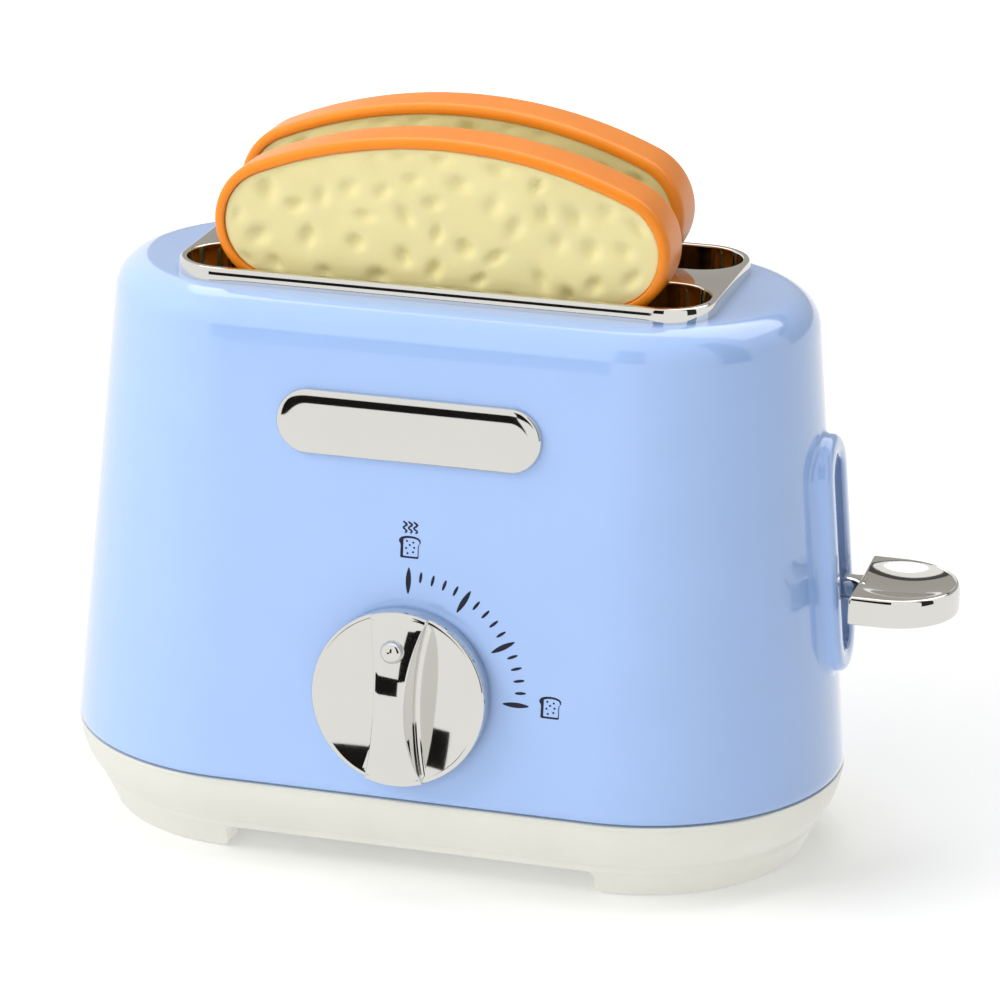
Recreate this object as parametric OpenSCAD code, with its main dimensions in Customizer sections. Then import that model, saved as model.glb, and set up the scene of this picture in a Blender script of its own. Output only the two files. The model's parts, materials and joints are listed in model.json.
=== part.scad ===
// Toy pop-up toaster with two toy slices of toast, a clockwork knob and a sprung lever.
// Millimetres. +X towards the lever, +Y towards the back, +Z up. The modules draw each piece with the
// body's middle at x = y = 0, and placed() moves the origin to the bottom centre of the whole.

/* [Body] */
// Width of the body where it meets the base
body_width = 180; // [176:1:190]
// Depth of the body where it meets the base
body_depth = 94.6; // [92:0.2:100]
// Height of the seam between base and body
seam_height = 19.9; // [18:0.1:21]
// Height of the body's top face
body_top = 129.7; // [127:0.1:134]
// Lean of the walls from upright, in degrees
wall_lean = 5.2; // [5:0.1:7]
// Radius of the rounded edge between walls and top
top_round = 8; // [6:0.5:14]
// Thickness of the moulded walls
wall = 2.4; // [1.8:0.1:3]

/* [Base] */
// Height of the step under the base's curved side
step_height = 8.1; // [7:0.1:10]
// How far the curved side has drawn in at the step
step_inset = 4.7; // [3:0.1:6]
// How far the strip under the step is set in from the body
strip_inset = 5.4; // [5:0.1:8]
// How far the feet are set in from the body
foot_inset = 8.5; // [7:0.1:10]
// Height of the feet
foot_height = 6.1; // [4:0.1:6.6]
// Width of the foot band
foot_band = 8; // [5:0.5:10]
// How far the feet's outer walls lean out towards the top
foot_flare = 2.6; // [0:0.1:2.8]
// Distance of each foot's straight edge from the body's end at the seam
foot_length = 47; // [42:1:54]
// Distance from the end to end middle of the base screws
base_screw_x = 52; // [48:1:54]
// Distance from the middle plane of the base screws
base_screw_y = 24; // [22:1:26]
// Radius of the base screws' shanks
base_screw_r = 1.25; // [1:0.05:1.5]

/* [Slot trim] */
// Height of the trim's top face
trim_top = 133; // [131.5:0.5:137]
// Distance of the toast slots' ends from the body's ends at the seam
slot_margin = 30.3; // [30.1:0.1:31.2]
// Width of each toast slot
slot_width = 19.8; // [19:0.1:20.4]
// Distance between the middles of the two slots
slot_pitch = 31.8; // [31.2:0.2:33]
// Width of the rim outside the slots
trim_rim = 1.7; // [1.4:0.1:2.2]
// Wall of the collar that hangs below each slot
collar_wall = 1; // [0.8:0.1:1.2]
// Distance of the trim screws from the middle
trim_screw_x = 30; // [20:1:45]
// Radius of the trim screws' shanks
trim_screw_r = 1.1; // [0.9:0.05:1.3]

/* [Name plate] */
// Length of the bare plate on the front
plate_length = 60.6; // [50:0.2:66]
// Height of the plate
plate_height = 14.6; // [12:0.2:17]
// How far the plate stands proud
plate_proud = 1.8; // [1:0.1:2.5]
// Height of the plate's middle above the ground
plate_z = 104; // [98:0.5:108]
// Sideways place of the plate's middle
plate_x = -1.2; // [-3:0.1:3]
// Distance between the plate's two studs
stud_spacing = 36; // [28:1:40]

/* [Lever] */
// Height of the lower end of the lever slot's rim
rim_bottom = 45; // [44:0.5:47]
// Height of the upper end of the lever slot's rim
rim_top = 100; // [98:0.5:102]
// How far the rim's lower end stands out past the body's end at the seam
rim_proud = 1.5; // [1:0.1:2]
// Lean of the rim's face from upright, in degrees
rim_lean = 5.2; // [4.6:0.1:5.8]
// Half the width of the rim
rim_half = 9.5; // [8.5:0.1:10.5]
// Half the width of the lever slot
lever_slot_half = 4.4; // [4:0.1:5]
// Height of the handle's underside at rest
handle_z = 60.9; // [60.4:0.1:61.5]
// Thickness of the handle
handle_thick = 6.5; // [6.2:0.1:8]
// Half the width of the handle
handle_half = 15; // [12:0.2:16]
// How far the handle's tip reaches past the body's end at the seam
handle_reach = 25; // [22:0.5:30]
// Half the width of the lever arm
arm_half = 2.6; // [2:0.1:3]
// Height of the lever arm's section
arm_thick = 2.8; // [2.4:0.1:3]

/* [Carriage] */
// How far the carriage goes down from rest
travel_down = 9; // [6:0.5:9.5]
// How far the carriage rises from rest
travel_up = 28; // [20:0.5:28.5]
// Height of the carriage's shelf at rest
shelf_z = 75; // [74.5:0.1:75.2]
// Radius of the guide rods
rod_r = 2; // [1.5:0.1:2.4]
// Running clearance between rod and bush
bush_gap = 0.05; // [0.02:0.01:0.1]
// Distance of the guide rods from the body's ends at the seam
rod_inset = 22; // [21:0.2:23]
// Half the distance between the two rods on the lever side
rod_y = 14; // [12:0.5:16]
// Wire radius of the return springs
spring_wire = 0.45; // [0.3:0.05:0.6]
// Turns of each return spring
spring_turns = 9; // [6:1:12]

/* [Toast] */
// How much shorter a slice is than its slot
slice_room = 15.6; // [14.4:0.2:19.4]
// Height of a slice
slice_height = 90; // [86:0.5:94]
// Thickness of a slice
slice_thick = 13.5; // [11:0.1:14]
// Width of the crust seen on a slice's face
crust_wall = 2.4; // [1.6:0.1:3]
// How far the crumb panels lie below the crust's edge
crumb_recess = 0.75; // [0.4:0.05:1.5]
// Sideways place of the front slice in its slot
front_slice_x = 0; // [-4:0.5:4]
// Sideways place of the rear slice in its slot
rear_slice_x = -4.5; // [-4.5:0.5:4]

/* [Timer] */
// Height of the knob's middle where its axis leaves the front wall
dial_z = 45; // [44:0.2:46]
// Radius of the knob
knob_r = 19.9; // [18:0.1:22]
// Thickness of the knob's rim
knob_rim = 5.5; // [4:0.1:7]
// Height of the knob's grip blade
knob_height = 12; // [10:0.2:14]
// Gap between the knob and the front wall
knob_gap = 0.8; // [0.5:0.1:1.5]
// Radius of the knob's shaft
shaft_r = 3; // [2.5:0.1:3.2]
// Teeth of the two large gears
wheel_teeth = 36; // [30:1:38]
// Teeth of the two pinions
pinion_teeth = 12; // [12:1:13]
// Module of the first pair of gears
first_module = 0.8; // [0.75:0.01:0.82]
// Module of the second pair of gears
second_module = 0.6; // [0.5:0.01:0.62]
// How much thinner each tooth is than half a pitch
tooth_slack = 0.1; // [0.06:0.01:0.16]
// Radius of the pinions' arbors
arbor_r = 1.2; // [0.8:0.1:1.4]
// Thickness of the timer's plates
plate_thick = 1.5; // [1:0.1:1.8]
// Clear depth between the timer's plates
plate_space = 13; // [13:0.1:13.4]

/* [Hidden] */
$fn = 96;

eps = 0.01;
end_r = body_depth / 2;
straight = body_width - body_depth;
end_x = straight / 2;
slot_length = body_width - 2 * slot_margin;
slice_width = slot_length - slice_room;
rim_reach = body_width / 2 + rim_proud;
handle_tip = body_width / 2 + handle_reach;
rod_x = body_width / 2 - rod_inset;
foot_start = body_width / 2 - foot_length;

// Body: the rounded edge is an arc tangent to the leaning wall and to the flat top.
function wall_r(z) = end_r - (z - seam_height) * tan(wall_lean);
round_z = body_top - top_round;
round_r = wall_r(round_z) - top_round / cos(wall_lean);
ceiling_z = body_top - wall;
arc_overlap = 0.64;
screw_post_bottom = 22;
screw_post_top = 50;
screw_post_r = 4;
post_pilot_depth = 14;
base_screw_head_r = 2.6;
base_screw_head_z = 12;
base_screw_head_h = 2.2;
rib_thick = 2;
rod_boss_r = rod_r + 2.5;
rod_boss_gap = 8;
rod_top = 124;
rod_socket_top = 20;
rod_bottom = 10;
tray_floor_thick = 2;
tray_floor = foot_height + tray_floor_thick;
tray_wall = 2.2;
screw_socket_wall = 1;
rod_socket_wall = 3;
screw_slack = 0.3;
lip_thick = 1.6;
lip_shelf = 3;
lip_gap = 0.1;
lip_height = 4;

// Slots and trim
slot_r = slot_width / 2;
slot_half = slot_length / 2;
slot_y = slot_pitch / 2;
collar_gap = 0.1;
collar_r = slot_r + collar_wall;
collar_bottom = shelf_z + travel_up + 2;
trim_half_x = slot_half + trim_rim;
trim_half_y = slot_y + slot_r + trim_rim + 0.4;
trim_corner = slot_r + trim_rim;
trim_skin = 1.5;
trim_screw_head_r = 2.3;
trim_screw_head_h = 1.8;
trim_screw_bite = trim_top - body_top - trim_skin + 0.3;

// Front wall frame: local Z points out of the leaning front wall, local Y runs up along it.
function front_y(z) = -wall_r(z);
stud_r = 1.5;
stud_length = wall + 2.1;
nut_r = 3.5;
nut_thick = 0.8;

// Lever
rim_mid_z = (rim_bottom + rim_top) / 2;
rim_mid_x = rim_reach - (rim_mid_z - rim_bottom) * tan(rim_lean);
rim_straight = (rim_top - rim_bottom) / cos(rim_lean) - 2 * rim_half;
rim_depth = 9;
rim_round = 1.7;
rim_clearance = 0.2;
arm_z = handle_z + 1.5;
neck_x = rim_reach + rim_clearance;
handle_back = neck_x + 1;
dish_depth = 1.4;
dish_r = 20;
arm_end = handle_back + 11;
handle_pin_x = handle_back + 6;
handle_pin_r = 0.9;

// Knob: a shallow dome, cut back to a dish on both sides of the grip blade.
knob_dome_r = (pow(knob_r, 2) + pow(knob_height - knob_rim, 2)) / (2 * (knob_height - knob_rim));
knob_dome_z = knob_gap + knob_height - knob_dome_r;

// Middle of the whole, between the handle's tip and the far end and between the knob and the back.
middle_x = (handle_tip - body_width / 2) / 2;
middle_y = (front_y(dial_z) - knob_dome_z * cos(wall_lean) - knob_dome_r + end_r) / 2;

// Carriage: channels under the slots, a beam at each end, three bushes on the guide rods.
rod_places = [[rod_x, -rod_y], [rod_x, rod_y], [-rod_x, 0]];
shelf_thick = 2;
shelf_lap = 4.2;
fence_gap = 0.55;
fence_thick = 1.2;
fence_height = 6;
fence_setback = 2.4;
fence_half = slice_width / 2 - fence_setback;
channel_half = slice_thick / 2 + fence_gap + fence_thick;
beam_thick = 5;
beam_width = 8;
bush_wall = 2.15;
bush_r = rod_r + bush_gap + bush_wall;
beam_inner = rod_x - bush_r - beam_width + 2;
beam_outer = beam_inner + beam_width;
shelf_half = beam_inner + shelf_lap;
beam_bottom = shelf_z - shelf_thick - beam_thick;
bush_bottom = shelf_z - 15;
bush_top = shelf_z + 7;
rod_boss_bottom = bush_top + travel_up + rod_boss_gap;
arm_pad_half = 6.5;
arm_pad_thick = 3;
arm_screw_y = 4.4;
arm_screw_r = 1;
arm_screw_head_h = 1.2;
arm_screw_bite = 3;
spring_r = rod_r + 1.4;
spring_low = rod_socket_top + spring_wire;
spring_high = bush_bottom - spring_wire;

// Toast outline: straight sides, a drawn-in neck, round shoulders and a long arc on top.
shoulder_r = 14.5;
shoulder_drop = 22.3;
neck_r = 8;
side_inset = 16.5;
foot_round = 6;
shoulder_x = slice_width / 2 - shoulder_r;
top_arc = (pow(shoulder_x, 2) + pow(shoulder_drop, 2) - pow(shoulder_r, 2))
    / (2 * (shoulder_drop - shoulder_r));
peg_r = 2.5;
peg_x = 26;
peg_low = 15;
peg_high = 70;
crumb_thick = 2;
crust_steps = [[0, 1.3], [0.9, 0.8], [1.7, 0]];

// Timer, in the front wall frame: z = 0 is the wall's outer face and depths are negative.
front_plate_z = -4;
front_inner_z = front_plate_z - plate_thick;
back_inner_z = front_inner_z - plate_space;
back_plate_z = back_inner_z - plate_thick;
wheel_z = back_inner_z + 4;
wheel_thick = 2.5;
second_z = back_inner_z + 1.7;
second_thick = 1.5;
spring_drum_z = front_inner_z - 4.6;
ribbon_width = 4;
ribbon_thick = 0.4;
ribbon_turns = 6;
ribbon_outer_r = 12;
first_distance = first_module * (wheel_teeth + pinion_teeth) / 2;
second_distance = second_module * (wheel_teeth + pinion_teeth) / 2;
second_angle = 126;
idler_place = [-first_distance, 0];
governor_place = idler_place + second_distance * [cos(second_angle), sin(second_angle)];
fan_r = 6.5;
fan_z = front_inner_z - 5;
fan_height = 4;
pressure_angle = 25;
plate_left = -42;
plate_right = 29.5;
plate_half = 18;
spacer_places = [[-38, -14], [-38, 14], [19, -14.5], [19, 14.5]];
spacer_r = 2.6;
timer_screw_r = 1.3;
timer_screw_head_r = 2.2;
timer_screw_head_h = 1.2;
latch_place = [25.5, -6];
latch_pin_r = 1.5;
latch_gap = 0.6;
latch_thick = 2;
latch_z = back_plate_z - latch_gap - latch_thick;
hook_low = 9.4;
hook_high = 14.5;
hook_reach = 29.4;
latch_arm_half = 2;
tail_top = -8;
tail_thick = 3;
tail_reach = -3;
cam_low_r = 0.95;
cam_lift = 3.5;
cam_ease = 1.35;
catch_down_z = 49.4;
catch_low = catch_down_z + travel_down;
catch_thick = 2;
catch_x = [29.9, 36];
catch_web_x = 34;
catch_y = [-23.4, -19.4];
shaft_end_z = latch_z - 1;
hub_r = 5;
knob_bore = 5;

// ---------- shared shapes ----------

// Sweeps an outline, drawn as (radius, height), round a stadium whose straight part lies along X.
module racetrack(length) {
    for (turn = [0, 180])
        rotate(turn) translate([length / 2, 0, 0]) rotate(-90) rotate_extrude(angle = 180) children();
    rotate([90, 0, 90]) linear_extrude(height = length, center = true) {
        children();
        mirror([1, 0]) children();
    }
}

module stadium(half_length, radius) {
    square([2 * (half_length - radius), 2 * radius], center = true);
    for (side = [-1, 1]) translate([side * (half_length - radius), 0]) circle(radius);
}

module rounded_rectangle(half_x, half_y, radius) {
    square([2 * (half_x - radius), 2 * half_y], center = true);
    square([2 * half_x, 2 * (half_y - radius)], center = true);
    for (x = [-1, 1], y = [-1, 1])
        translate([x * (half_x - radius), y * (half_y - radius)]) circle(radius);
}

// Points of an arc in a plane, from one angle to another.
function arc(centre, radius, from, to, steps) =
    [for (i = [0 : steps]) let (a = from + (to - from) * i / steps) centre + radius * [cos(a), sin(a)]];

// Places its children on the leaning front wall, at a given height and sideways place.
module on_front(z, x = 0) {
    translate([x, front_y(z), z]) rotate([90 - wall_lean, 0, 0]) children();
}

// Moves the origin from the body's middle to the bottom centre of the whole.
module placed() {
    translate([-middle_x, -middle_y, 0]) children();
}

module at_rods() {
    for (place = rod_places) translate([place[0], place[1], 0]) children();
}

module at_base_screws() {
    for (x = [-1, 1], y = [-1, 1]) translate([x * base_screw_x, y * base_screw_y, 0]) children();
}

// One closed tube of round wire wound as a helix about Z.
module coil(radius, wire, low, high, turns) {
    rings = 8;
    sides = 6;
    count = rings * turns;
    function ring(i) = let (a = 360 * i / rings, z = low + (high - low) * i / count)
        [for (k = [0 : sides - 1]) let (b = 360 * k / sides)
            [(radius + wire * cos(b)) * cos(a), (radius + wire * cos(b)) * sin(a), z + wire * sin(b)]];
    points = [for (i = [0 : count]) each ring(i)];
    skin = [for (i = [0 : count - 1], k = [0 : sides - 1])
        let (a = i * sides + k, b = i * sides + (k + 1) % sides)
        each [[a, a + sides, b], [b, a + sides, b + sides]]];
    start = [for (k = [1 : sides - 2]) [0, k, k + 1]];
    finish = [for (k = [1 : sides - 2]) [count * sides, count * sides + k + 1, count * sides + k]];
    polyhedron(points, concat(skin, start, finish));
}

// ---------- body and base ----------

// Outline of the body as (radius, height), moved inwards by the inset.
module body_outline(inset, low) {
    arc_r = top_round - inset;
    polygon([[0, low], [wall_r(low) - inset / cos(wall_lean), low],
             [round_r + arc_r * cos(wall_lean), round_z + arc_r * sin(wall_lean)],
             [round_r + arc_r * arc_overlap, round_z + arc_r * arc_overlap],
             [round_r, round_z + arc_r], [0, round_z + arc_r]]);
    intersection() {
        translate([round_r, round_z]) circle(arc_r);
        translate([round_r, round_z])
            polygon([[0, 0], 2 * arc_r * [cos(wall_lean), sin(wall_lean)],
                     [2 * arc_r, 2 * arc_r], [0, 2 * arc_r]]);
    }
}

module body_solid(inset, low) {
    racetrack(straight) body_outline(inset, low);
}

// Frame of the lever slot's rim: local X points out of the rim's face.
module on_rim() {
    translate([rim_mid_x, 0, rim_mid_z]) rotate([0, -rim_lean, 0]) rotate([0, 90, 0]) children();
}

module rim_outline() {
    polygon(concat([[0, -rim_depth], [rim_half, -rim_depth]],
                   arc([rim_half - rim_round, -rim_round], rim_round, 0, 90, 8),
                   [[0, 0]]));
}

module body_shell() {
    color([0.66, 0.78, 0.94])
    difference() {
        union() {
            difference() {
                body_solid(0, seam_height);
                body_solid(wall, seam_height - 1);
            }
            on_rim() racetrack(rim_straight) rim_outline();
            body_ribs_and_bosses();
        }
        on_rim() translate([0, 0, -2 * rim_depth]) linear_extrude(3 * rim_depth)
            stadium(rim_straight / 2 + lever_slot_half, lever_slot_half);
        for (side = [-1, 1]) translate([0, side * slot_y, ceiling_z - 8]) linear_extrude(20)
            stadium(slot_half + collar_wall + collar_gap, collar_r + collar_gap);
        at_rods() translate([0, 0, rod_boss_bottom - 1])
            cylinder(r = rod_r, h = rod_top - rod_boss_bottom + 1);
        at_base_screws() translate([0, 0, screw_post_bottom - 1])
            cylinder(r = base_screw_r, h = post_pilot_depth + 1);
        for (side = [-1, 1]) translate([side * trim_screw_x, 0, ceiling_z - 1])
            cylinder(r = trim_screw_r, h = wall + 2);
        on_front(dial_z) translate([0, 0, -wall - 2]) cylinder(r = shaft_r + 0.6, h = wall + 4);
        on_front(dial_z) timer_screw_holes(front_plate_z - 1, -wall + 0.6);
        for (side = [-1, 1]) on_front(plate_z, plate_x + side * stud_spacing / 2)
            translate([0, 0, -wall - 1]) cylinder(r = stud_r, h = wall + 2);
    }
}

module body_ribs_and_bosses() {
    intersection() {
        body_solid(wall / 2, seam_height);
        union() {
            at_rods() translate([0, 0, rod_boss_bottom])
                cylinder(r = rod_boss_r, h = body_top - rod_boss_bottom);
            at_base_screws() translate([0, 0, screw_post_bottom])
                cylinder(r = screw_post_r, h = screw_post_top - screw_post_bottom);
            for (x = [-1, 1], y = [-1, 1]) screw_post_rib(x, y);
            on_front(dial_z) for (place = spacer_places) translate([place[0], place[1], front_plate_z])
                cylinder(r = spacer_r + 0.4, h = -front_plate_z);
        }
    }
}

// A rib from each screw post to the wall, which starts above the base's lip.
module screw_post_rib(x, y) {
    outward = atan2(y * base_screw_y, x * (base_screw_x - end_x));
    rib_bottom = seam_height + lip_height + lip_gap;
    translate([x * base_screw_x, y * base_screw_y, rib_bottom]) rotate(outward)
        translate([screw_post_r - 1, -rib_thick / 2, 0])
            cube([end_r, rib_thick, screw_post_top - rib_bottom]);
}

// Base side: an arc that is upright at the seam and reaches the step's inset at the step's height.
module base_outline(inset) {
    rise = seam_height - step_height;
    side_r = (pow(step_inset, 2) + pow(rise, 2)) / (2 * step_inset);
    low = step_height + inset * 0.9;
    intersection() {
        translate([end_r - side_r, seam_height]) circle(side_r - inset);
        translate([0, low]) square([end_r, seam_height - low + (inset > 0 ? 1 : 0)]);
    }
    translate([0, low]) square([end_r - side_r, seam_height - low + (inset > 0 ? 1 : 0)]);
}

module base_tray() {
    color([0.86, 0.86, 0.83])
    difference() {
        union() {
            difference() {
                union() {
                    racetrack(straight) base_outline(0);
                    racetrack(straight) translate([0, foot_height])
                        square([end_r - strip_inset, step_height - foot_height]);
                }
                racetrack(straight) intersection() {
                    base_outline(tray_wall);
                    translate([0, tray_floor]) square([end_r, seam_height]);
                }
            }
            base_lip();
            base_feet();
            at_base_screws() translate([0, 0, foot_height])
                cylinder(r = screw_post_r + screw_socket_wall, h = screw_post_bottom - foot_height);
            at_rods() translate([0, 0, tray_floor - 1])
                cylinder(r = rod_r + rod_socket_wall, h = rod_socket_top - tray_floor + 1);
        }
        at_base_screws() {
            translate([0, 0, foot_height - 1])
                cylinder(r = base_screw_head_r + screw_slack, h = base_screw_head_z - foot_height + 1);
            cylinder(r = base_screw_r + screw_slack, h = screw_post_bottom + 1);
        }
        at_rods() translate([0, 0, rod_bottom]) cylinder(r = rod_r, h = rod_socket_top);
    }
}

// A lip stands up inside the body and keeps it in line.
module base_lip() {
    lip_r = wall_r(seam_height + lip_height) - wall / cos(wall_lean) - lip_gap;
    racetrack(straight) translate([lip_r - lip_thick, seam_height - lip_shelf]) {
        square([lip_thick, lip_height + lip_shelf]);
        square([end_r - tray_wall / 2 - lip_r + lip_thick, lip_shelf]);
    }
}

module base_feet() {
    foot_r = end_r - foot_inset;
    for (turn = [0, 180]) rotate(turn) intersection() {
        racetrack(straight) polygon([[foot_r - foot_band, 0], [foot_r, 0],
                                     [foot_r + foot_flare, foot_height],
                                     [foot_r + foot_flare, foot_height + 1],
                                     [foot_r - foot_band, foot_height + 1]]);
        translate([foot_start, -end_r, -1]) cube([body_width, body_depth, foot_height + 3]);
    }
}

module base_screws() {
    color([0.5, 0.5, 0.52])
    at_base_screws() {
        translate([0, 0, base_screw_head_z - base_screw_head_h])
            cylinder(r = base_screw_head_r, h = base_screw_head_h);
        translate([0, 0, base_screw_head_z - eps])
            cylinder(r = base_screw_r, h = screw_post_bottom + post_pilot_depth - base_screw_head_z - 1);
    }
}

// ---------- slot trim and name plate ----------

module slot_trim() {
    color([0.82, 0.81, 0.79])
    difference() {
        union() {
            translate([0, 0, body_top]) linear_extrude(trim_top - body_top)
                rounded_rectangle(trim_half_x, trim_half_y, trim_corner);
            for (side = [-1, 1]) translate([0, side * slot_y, collar_bottom])
                linear_extrude(trim_top - collar_bottom - 1) stadium(slot_half + collar_wall, collar_r);
        }
        for (side = [-1, 1]) translate([0, side * slot_y, collar_bottom - 1])
            linear_extrude(trim_top - collar_bottom + 2) stadium(slot_half, slot_r);
        translate([0, 0, body_top - 1]) linear_extrude(trim_top - trim_skin - body_top + 1) trim_hollow();
        for (side = [-1, 1]) translate([side * trim_screw_x, 0, body_top - 1])
            cylinder(r = trim_screw_r, h = trim_screw_bite + 1);
    }
}

// The trim is hollow underneath, between its rim, the collars and the two screw bosses.
module trim_hollow() {
    difference() {
        rounded_rectangle(trim_half_x - trim_skin, trim_half_y - trim_skin, trim_corner - trim_skin);
        for (side = [-1, 1]) translate([0, side * slot_y]) stadium(slot_half + collar_wall, collar_r);
        for (side = [-1, 1]) translate([side * trim_screw_x, 0]) circle(trim_screw_r + trim_skin);
    }
}

module trim_screws() {
    color([0.5, 0.5, 0.52])
    for (side = [-1, 1]) translate([side * trim_screw_x, 0, 0]) {
        translate([0, 0, ceiling_z - trim_screw_head_h])
            cylinder(r = trim_screw_head_r, h = trim_screw_head_h);
        translate([0, 0, ceiling_z - eps]) cylinder(r = trim_screw_r, h = wall + trim_screw_bite);
    }
}

module name_plate() {
    bevel = 0.7;
    color([0.8, 0.8, 0.79])
    on_front(plate_z, plate_x) {
        linear_extrude(plate_proud - bevel) stadium(plate_length / 2, plate_height / 2);
        translate([0, 0, plate_proud - bevel - eps]) linear_extrude(bevel)
            stadium(plate_length / 2 - bevel, plate_height / 2 - bevel);
        for (side = [-1, 1]) translate([side * stud_spacing / 2, 0, -stud_length])
            cylinder(r = stud_r, h = stud_length + eps);
    }
}

module plate_push_nuts() {
    color([0.45, 0.45, 0.47])
    for (side = [-1, 1]) on_front(plate_z, plate_x + side * stud_spacing / 2)
        translate([0, 0, -wall - nut_thick]) difference() {
            cylinder(r = nut_r, h = nut_thick);
            translate([0, 0, -1]) cylinder(r = stud_r, h = nut_thick + 2);
        }
}

// ---------- carriage and lever ----------

module guide_rods() {
    color([0.7, 0.7, 0.72])
    at_rods() translate([0, 0, rod_bottom]) cylinder(r = rod_r, h = rod_top - rod_bottom);
}

module return_springs() {
    color([0.55, 0.55, 0.57])
    at_rods() coil(spring_r, spring_wire, spring_low, spring_high, spring_turns);
}

module toast_carriage() {
    color([0.32, 0.33, 0.35])
    difference() {
        union() {
            for (side = [-1, 1]) translate([0, side * slot_y, 0]) carriage_channel();
            for (side = [-1, 1]) carriage_beam(side);
            at_rods() translate([0, 0, bush_bottom]) cylinder(r = bush_r, h = bush_top - bush_bottom);
            carriage_catch();
        }
        at_rods() translate([0, 0, bush_bottom - 1])
            cylinder(r = rod_r + bush_gap, h = bush_top - bush_bottom + 2);
        for (side = [-1, 1])
            translate([(beam_inner + beam_outer) / 2, side * arm_screw_y, beam_bottom - 1])
                cylinder(r = arm_screw_r, h = arm_screw_bite + 1);
    }
}

module carriage_channel() {
    translate([-shelf_half, -channel_half, shelf_z - shelf_thick])
        cube([2 * shelf_half, 2 * channel_half, shelf_thick]);
    fence_y = channel_half - fence_thick / 2;
    for (side = [-1, 1]) translate([0, side * fence_y, shelf_z + (fence_height - 1) / 2])
        cube([2 * fence_half, fence_thick, fence_height + 1], center = true);
}

module carriage_beam(side) {
    x = side > 0 ? beam_inner : -beam_outer;
    translate([x, -slot_y - channel_half, beam_bottom])
        cube([beam_width, 2 * (slot_y + channel_half), beam_thick + 1]);
}

// A web below the front channel ends in a lip that the latch hooks when the carriage is down.
module carriage_catch() {
    translate([catch_web_x, catch_y[0], catch_low])
        cube([catch_x[1] - catch_web_x, catch_y[1] - catch_y[0], shelf_z - shelf_thick - catch_low + 1]);
    translate([catch_x[0], catch_y[0], catch_low])
        cube([catch_x[1] - catch_x[0], catch_y[1] - catch_y[0], catch_thick]);
}

module lever_arm() {
    color([0.6, 0.6, 0.62])
    difference() {
        union() {
            translate([beam_inner, -arm_half, arm_z]) cube([arm_end - beam_inner, 2 * arm_half, arm_thick]);
            translate([beam_inner, -arm_pad_half, beam_bottom - arm_pad_thick])
                cube([beam_width, 2 * arm_pad_half, arm_pad_thick]);
            translate([beam_inner, -arm_half, arm_z]) cube([beam_width, 2 * arm_half, beam_bottom - arm_z]);
        }
        for (side = [-1, 1]) translate([(beam_inner + beam_outer) / 2, side * arm_screw_y, arm_z])
            cylinder(r = arm_screw_r + 0.2, h = beam_bottom);
        translate([handle_pin_x, 0, arm_z - 1]) cylinder(r = handle_pin_r, h = arm_thick + 2);
    }
}

module arm_screws() {
    color([0.5, 0.5, 0.52])
    for (side = [-1, 1])
        translate([(beam_inner + beam_outer) / 2, side * arm_screw_y, beam_bottom - arm_pad_thick]) {
            translate([0, 0, -arm_screw_head_h]) cylinder(r = arm_screw_r + 0.7, h = arm_screw_head_h);
            translate([0, 0, -eps]) cylinder(r = arm_screw_r, h = arm_pad_thick + arm_screw_bite);
        }
}

// A half circle at the tip, with straight sides back to the edge next to the body.
module handle_outline() {
    tip_x = handle_tip - handle_half;
    intersection() {
        translate([tip_x, 0]) circle(handle_half);
        translate([tip_x - eps, -handle_half]) square(2 * handle_half);
    }
    translate([handle_back, -handle_half]) square([tip_x - handle_back, 2 * handle_half]);
}

module lever_handle() {
    color([0.82, 0.81, 0.78])
    difference() {
        union() {
            translate([0, 0, handle_z]) linear_extrude(handle_thick) handle_outline();
            translate([neck_x, -arm_half - 1, handle_z + 1])
                cube([handle_back - neck_x + 2, 2 * arm_half + 2, handle_thick - 1.6]);
        }
        translate([handle_back + 11, 0, handle_z + handle_thick + dish_r - dish_depth]) sphere(dish_r);
        translate([neck_x - 1, -arm_half, arm_z]) cube([arm_end - neck_x + 1, 2 * arm_half, arm_thick]);
        translate([handle_pin_x, 0, handle_z - 1]) cylinder(r = handle_pin_r, h = arm_z - handle_z + 2);
    }
}

module handle_pin() {
    color([0.55, 0.55, 0.57])
    translate([handle_pin_x, 0, handle_z + 0.2])
        cylinder(r = handle_pin_r, h = arm_z + arm_thick - handle_z - 0.2);
}

// ---------- toast ----------

// Outline of a slice as (sideways, up from its foot), moved inwards by the inset.
function half_slice(inset) =
    let (shoulder = [shoulder_x, slice_height - shoulder_drop],
         side_x = slice_width / 2 - side_inset,
         neck_x = side_x + neck_r,
         neck_y = shoulder[1] - sqrt(pow(shoulder_r + neck_r, 2) - pow(neck_x - shoulder[0], 2)),
         neck_turn = atan2(shoulder[1] - neck_y, shoulder[0] - neck_x),
         top_turn = atan2(shoulder[1] - slice_height + top_arc, shoulder[0]))
    concat(arc([side_x - foot_round, foot_round], foot_round - inset, -90, 0, 6),
           arc([neck_x, neck_y], neck_r + inset, 180, neck_turn, 6),
           arc(shoulder, shoulder_r - inset, neck_turn - 180, top_turn, 10),
           [for (i = [1 : 7]) let (a = top_turn + (90 - top_turn) * i / 8)
               [0, slice_height - top_arc] + (top_arc - inset) * [cos(a), sin(a)]]);

module slice_outline(inset) {
    half = half_slice(inset);
    top = [[0, slice_height - inset]];
    polygon(concat(half, top, [for (i = [len(half) - 1 : -1 : 0]) [-half[i][0], half[i][1]]]));
}

// Stands a slice upright in a slot, resting on the carriage.
module in_slot(x, y) {
    translate([x, y, shelf_z]) rotate([90, 0, 0]) children();
}

module crust() {
    color([0.96, 0.56, 0.18])
    difference() {
        for (step = crust_steps)
            linear_extrude(slice_thick - 2 * step[0], center = true) slice_outline(step[1]);
        linear_extrude(slice_thick + 2, center = true) slice_outline(crust_wall);
    }
}

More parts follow.
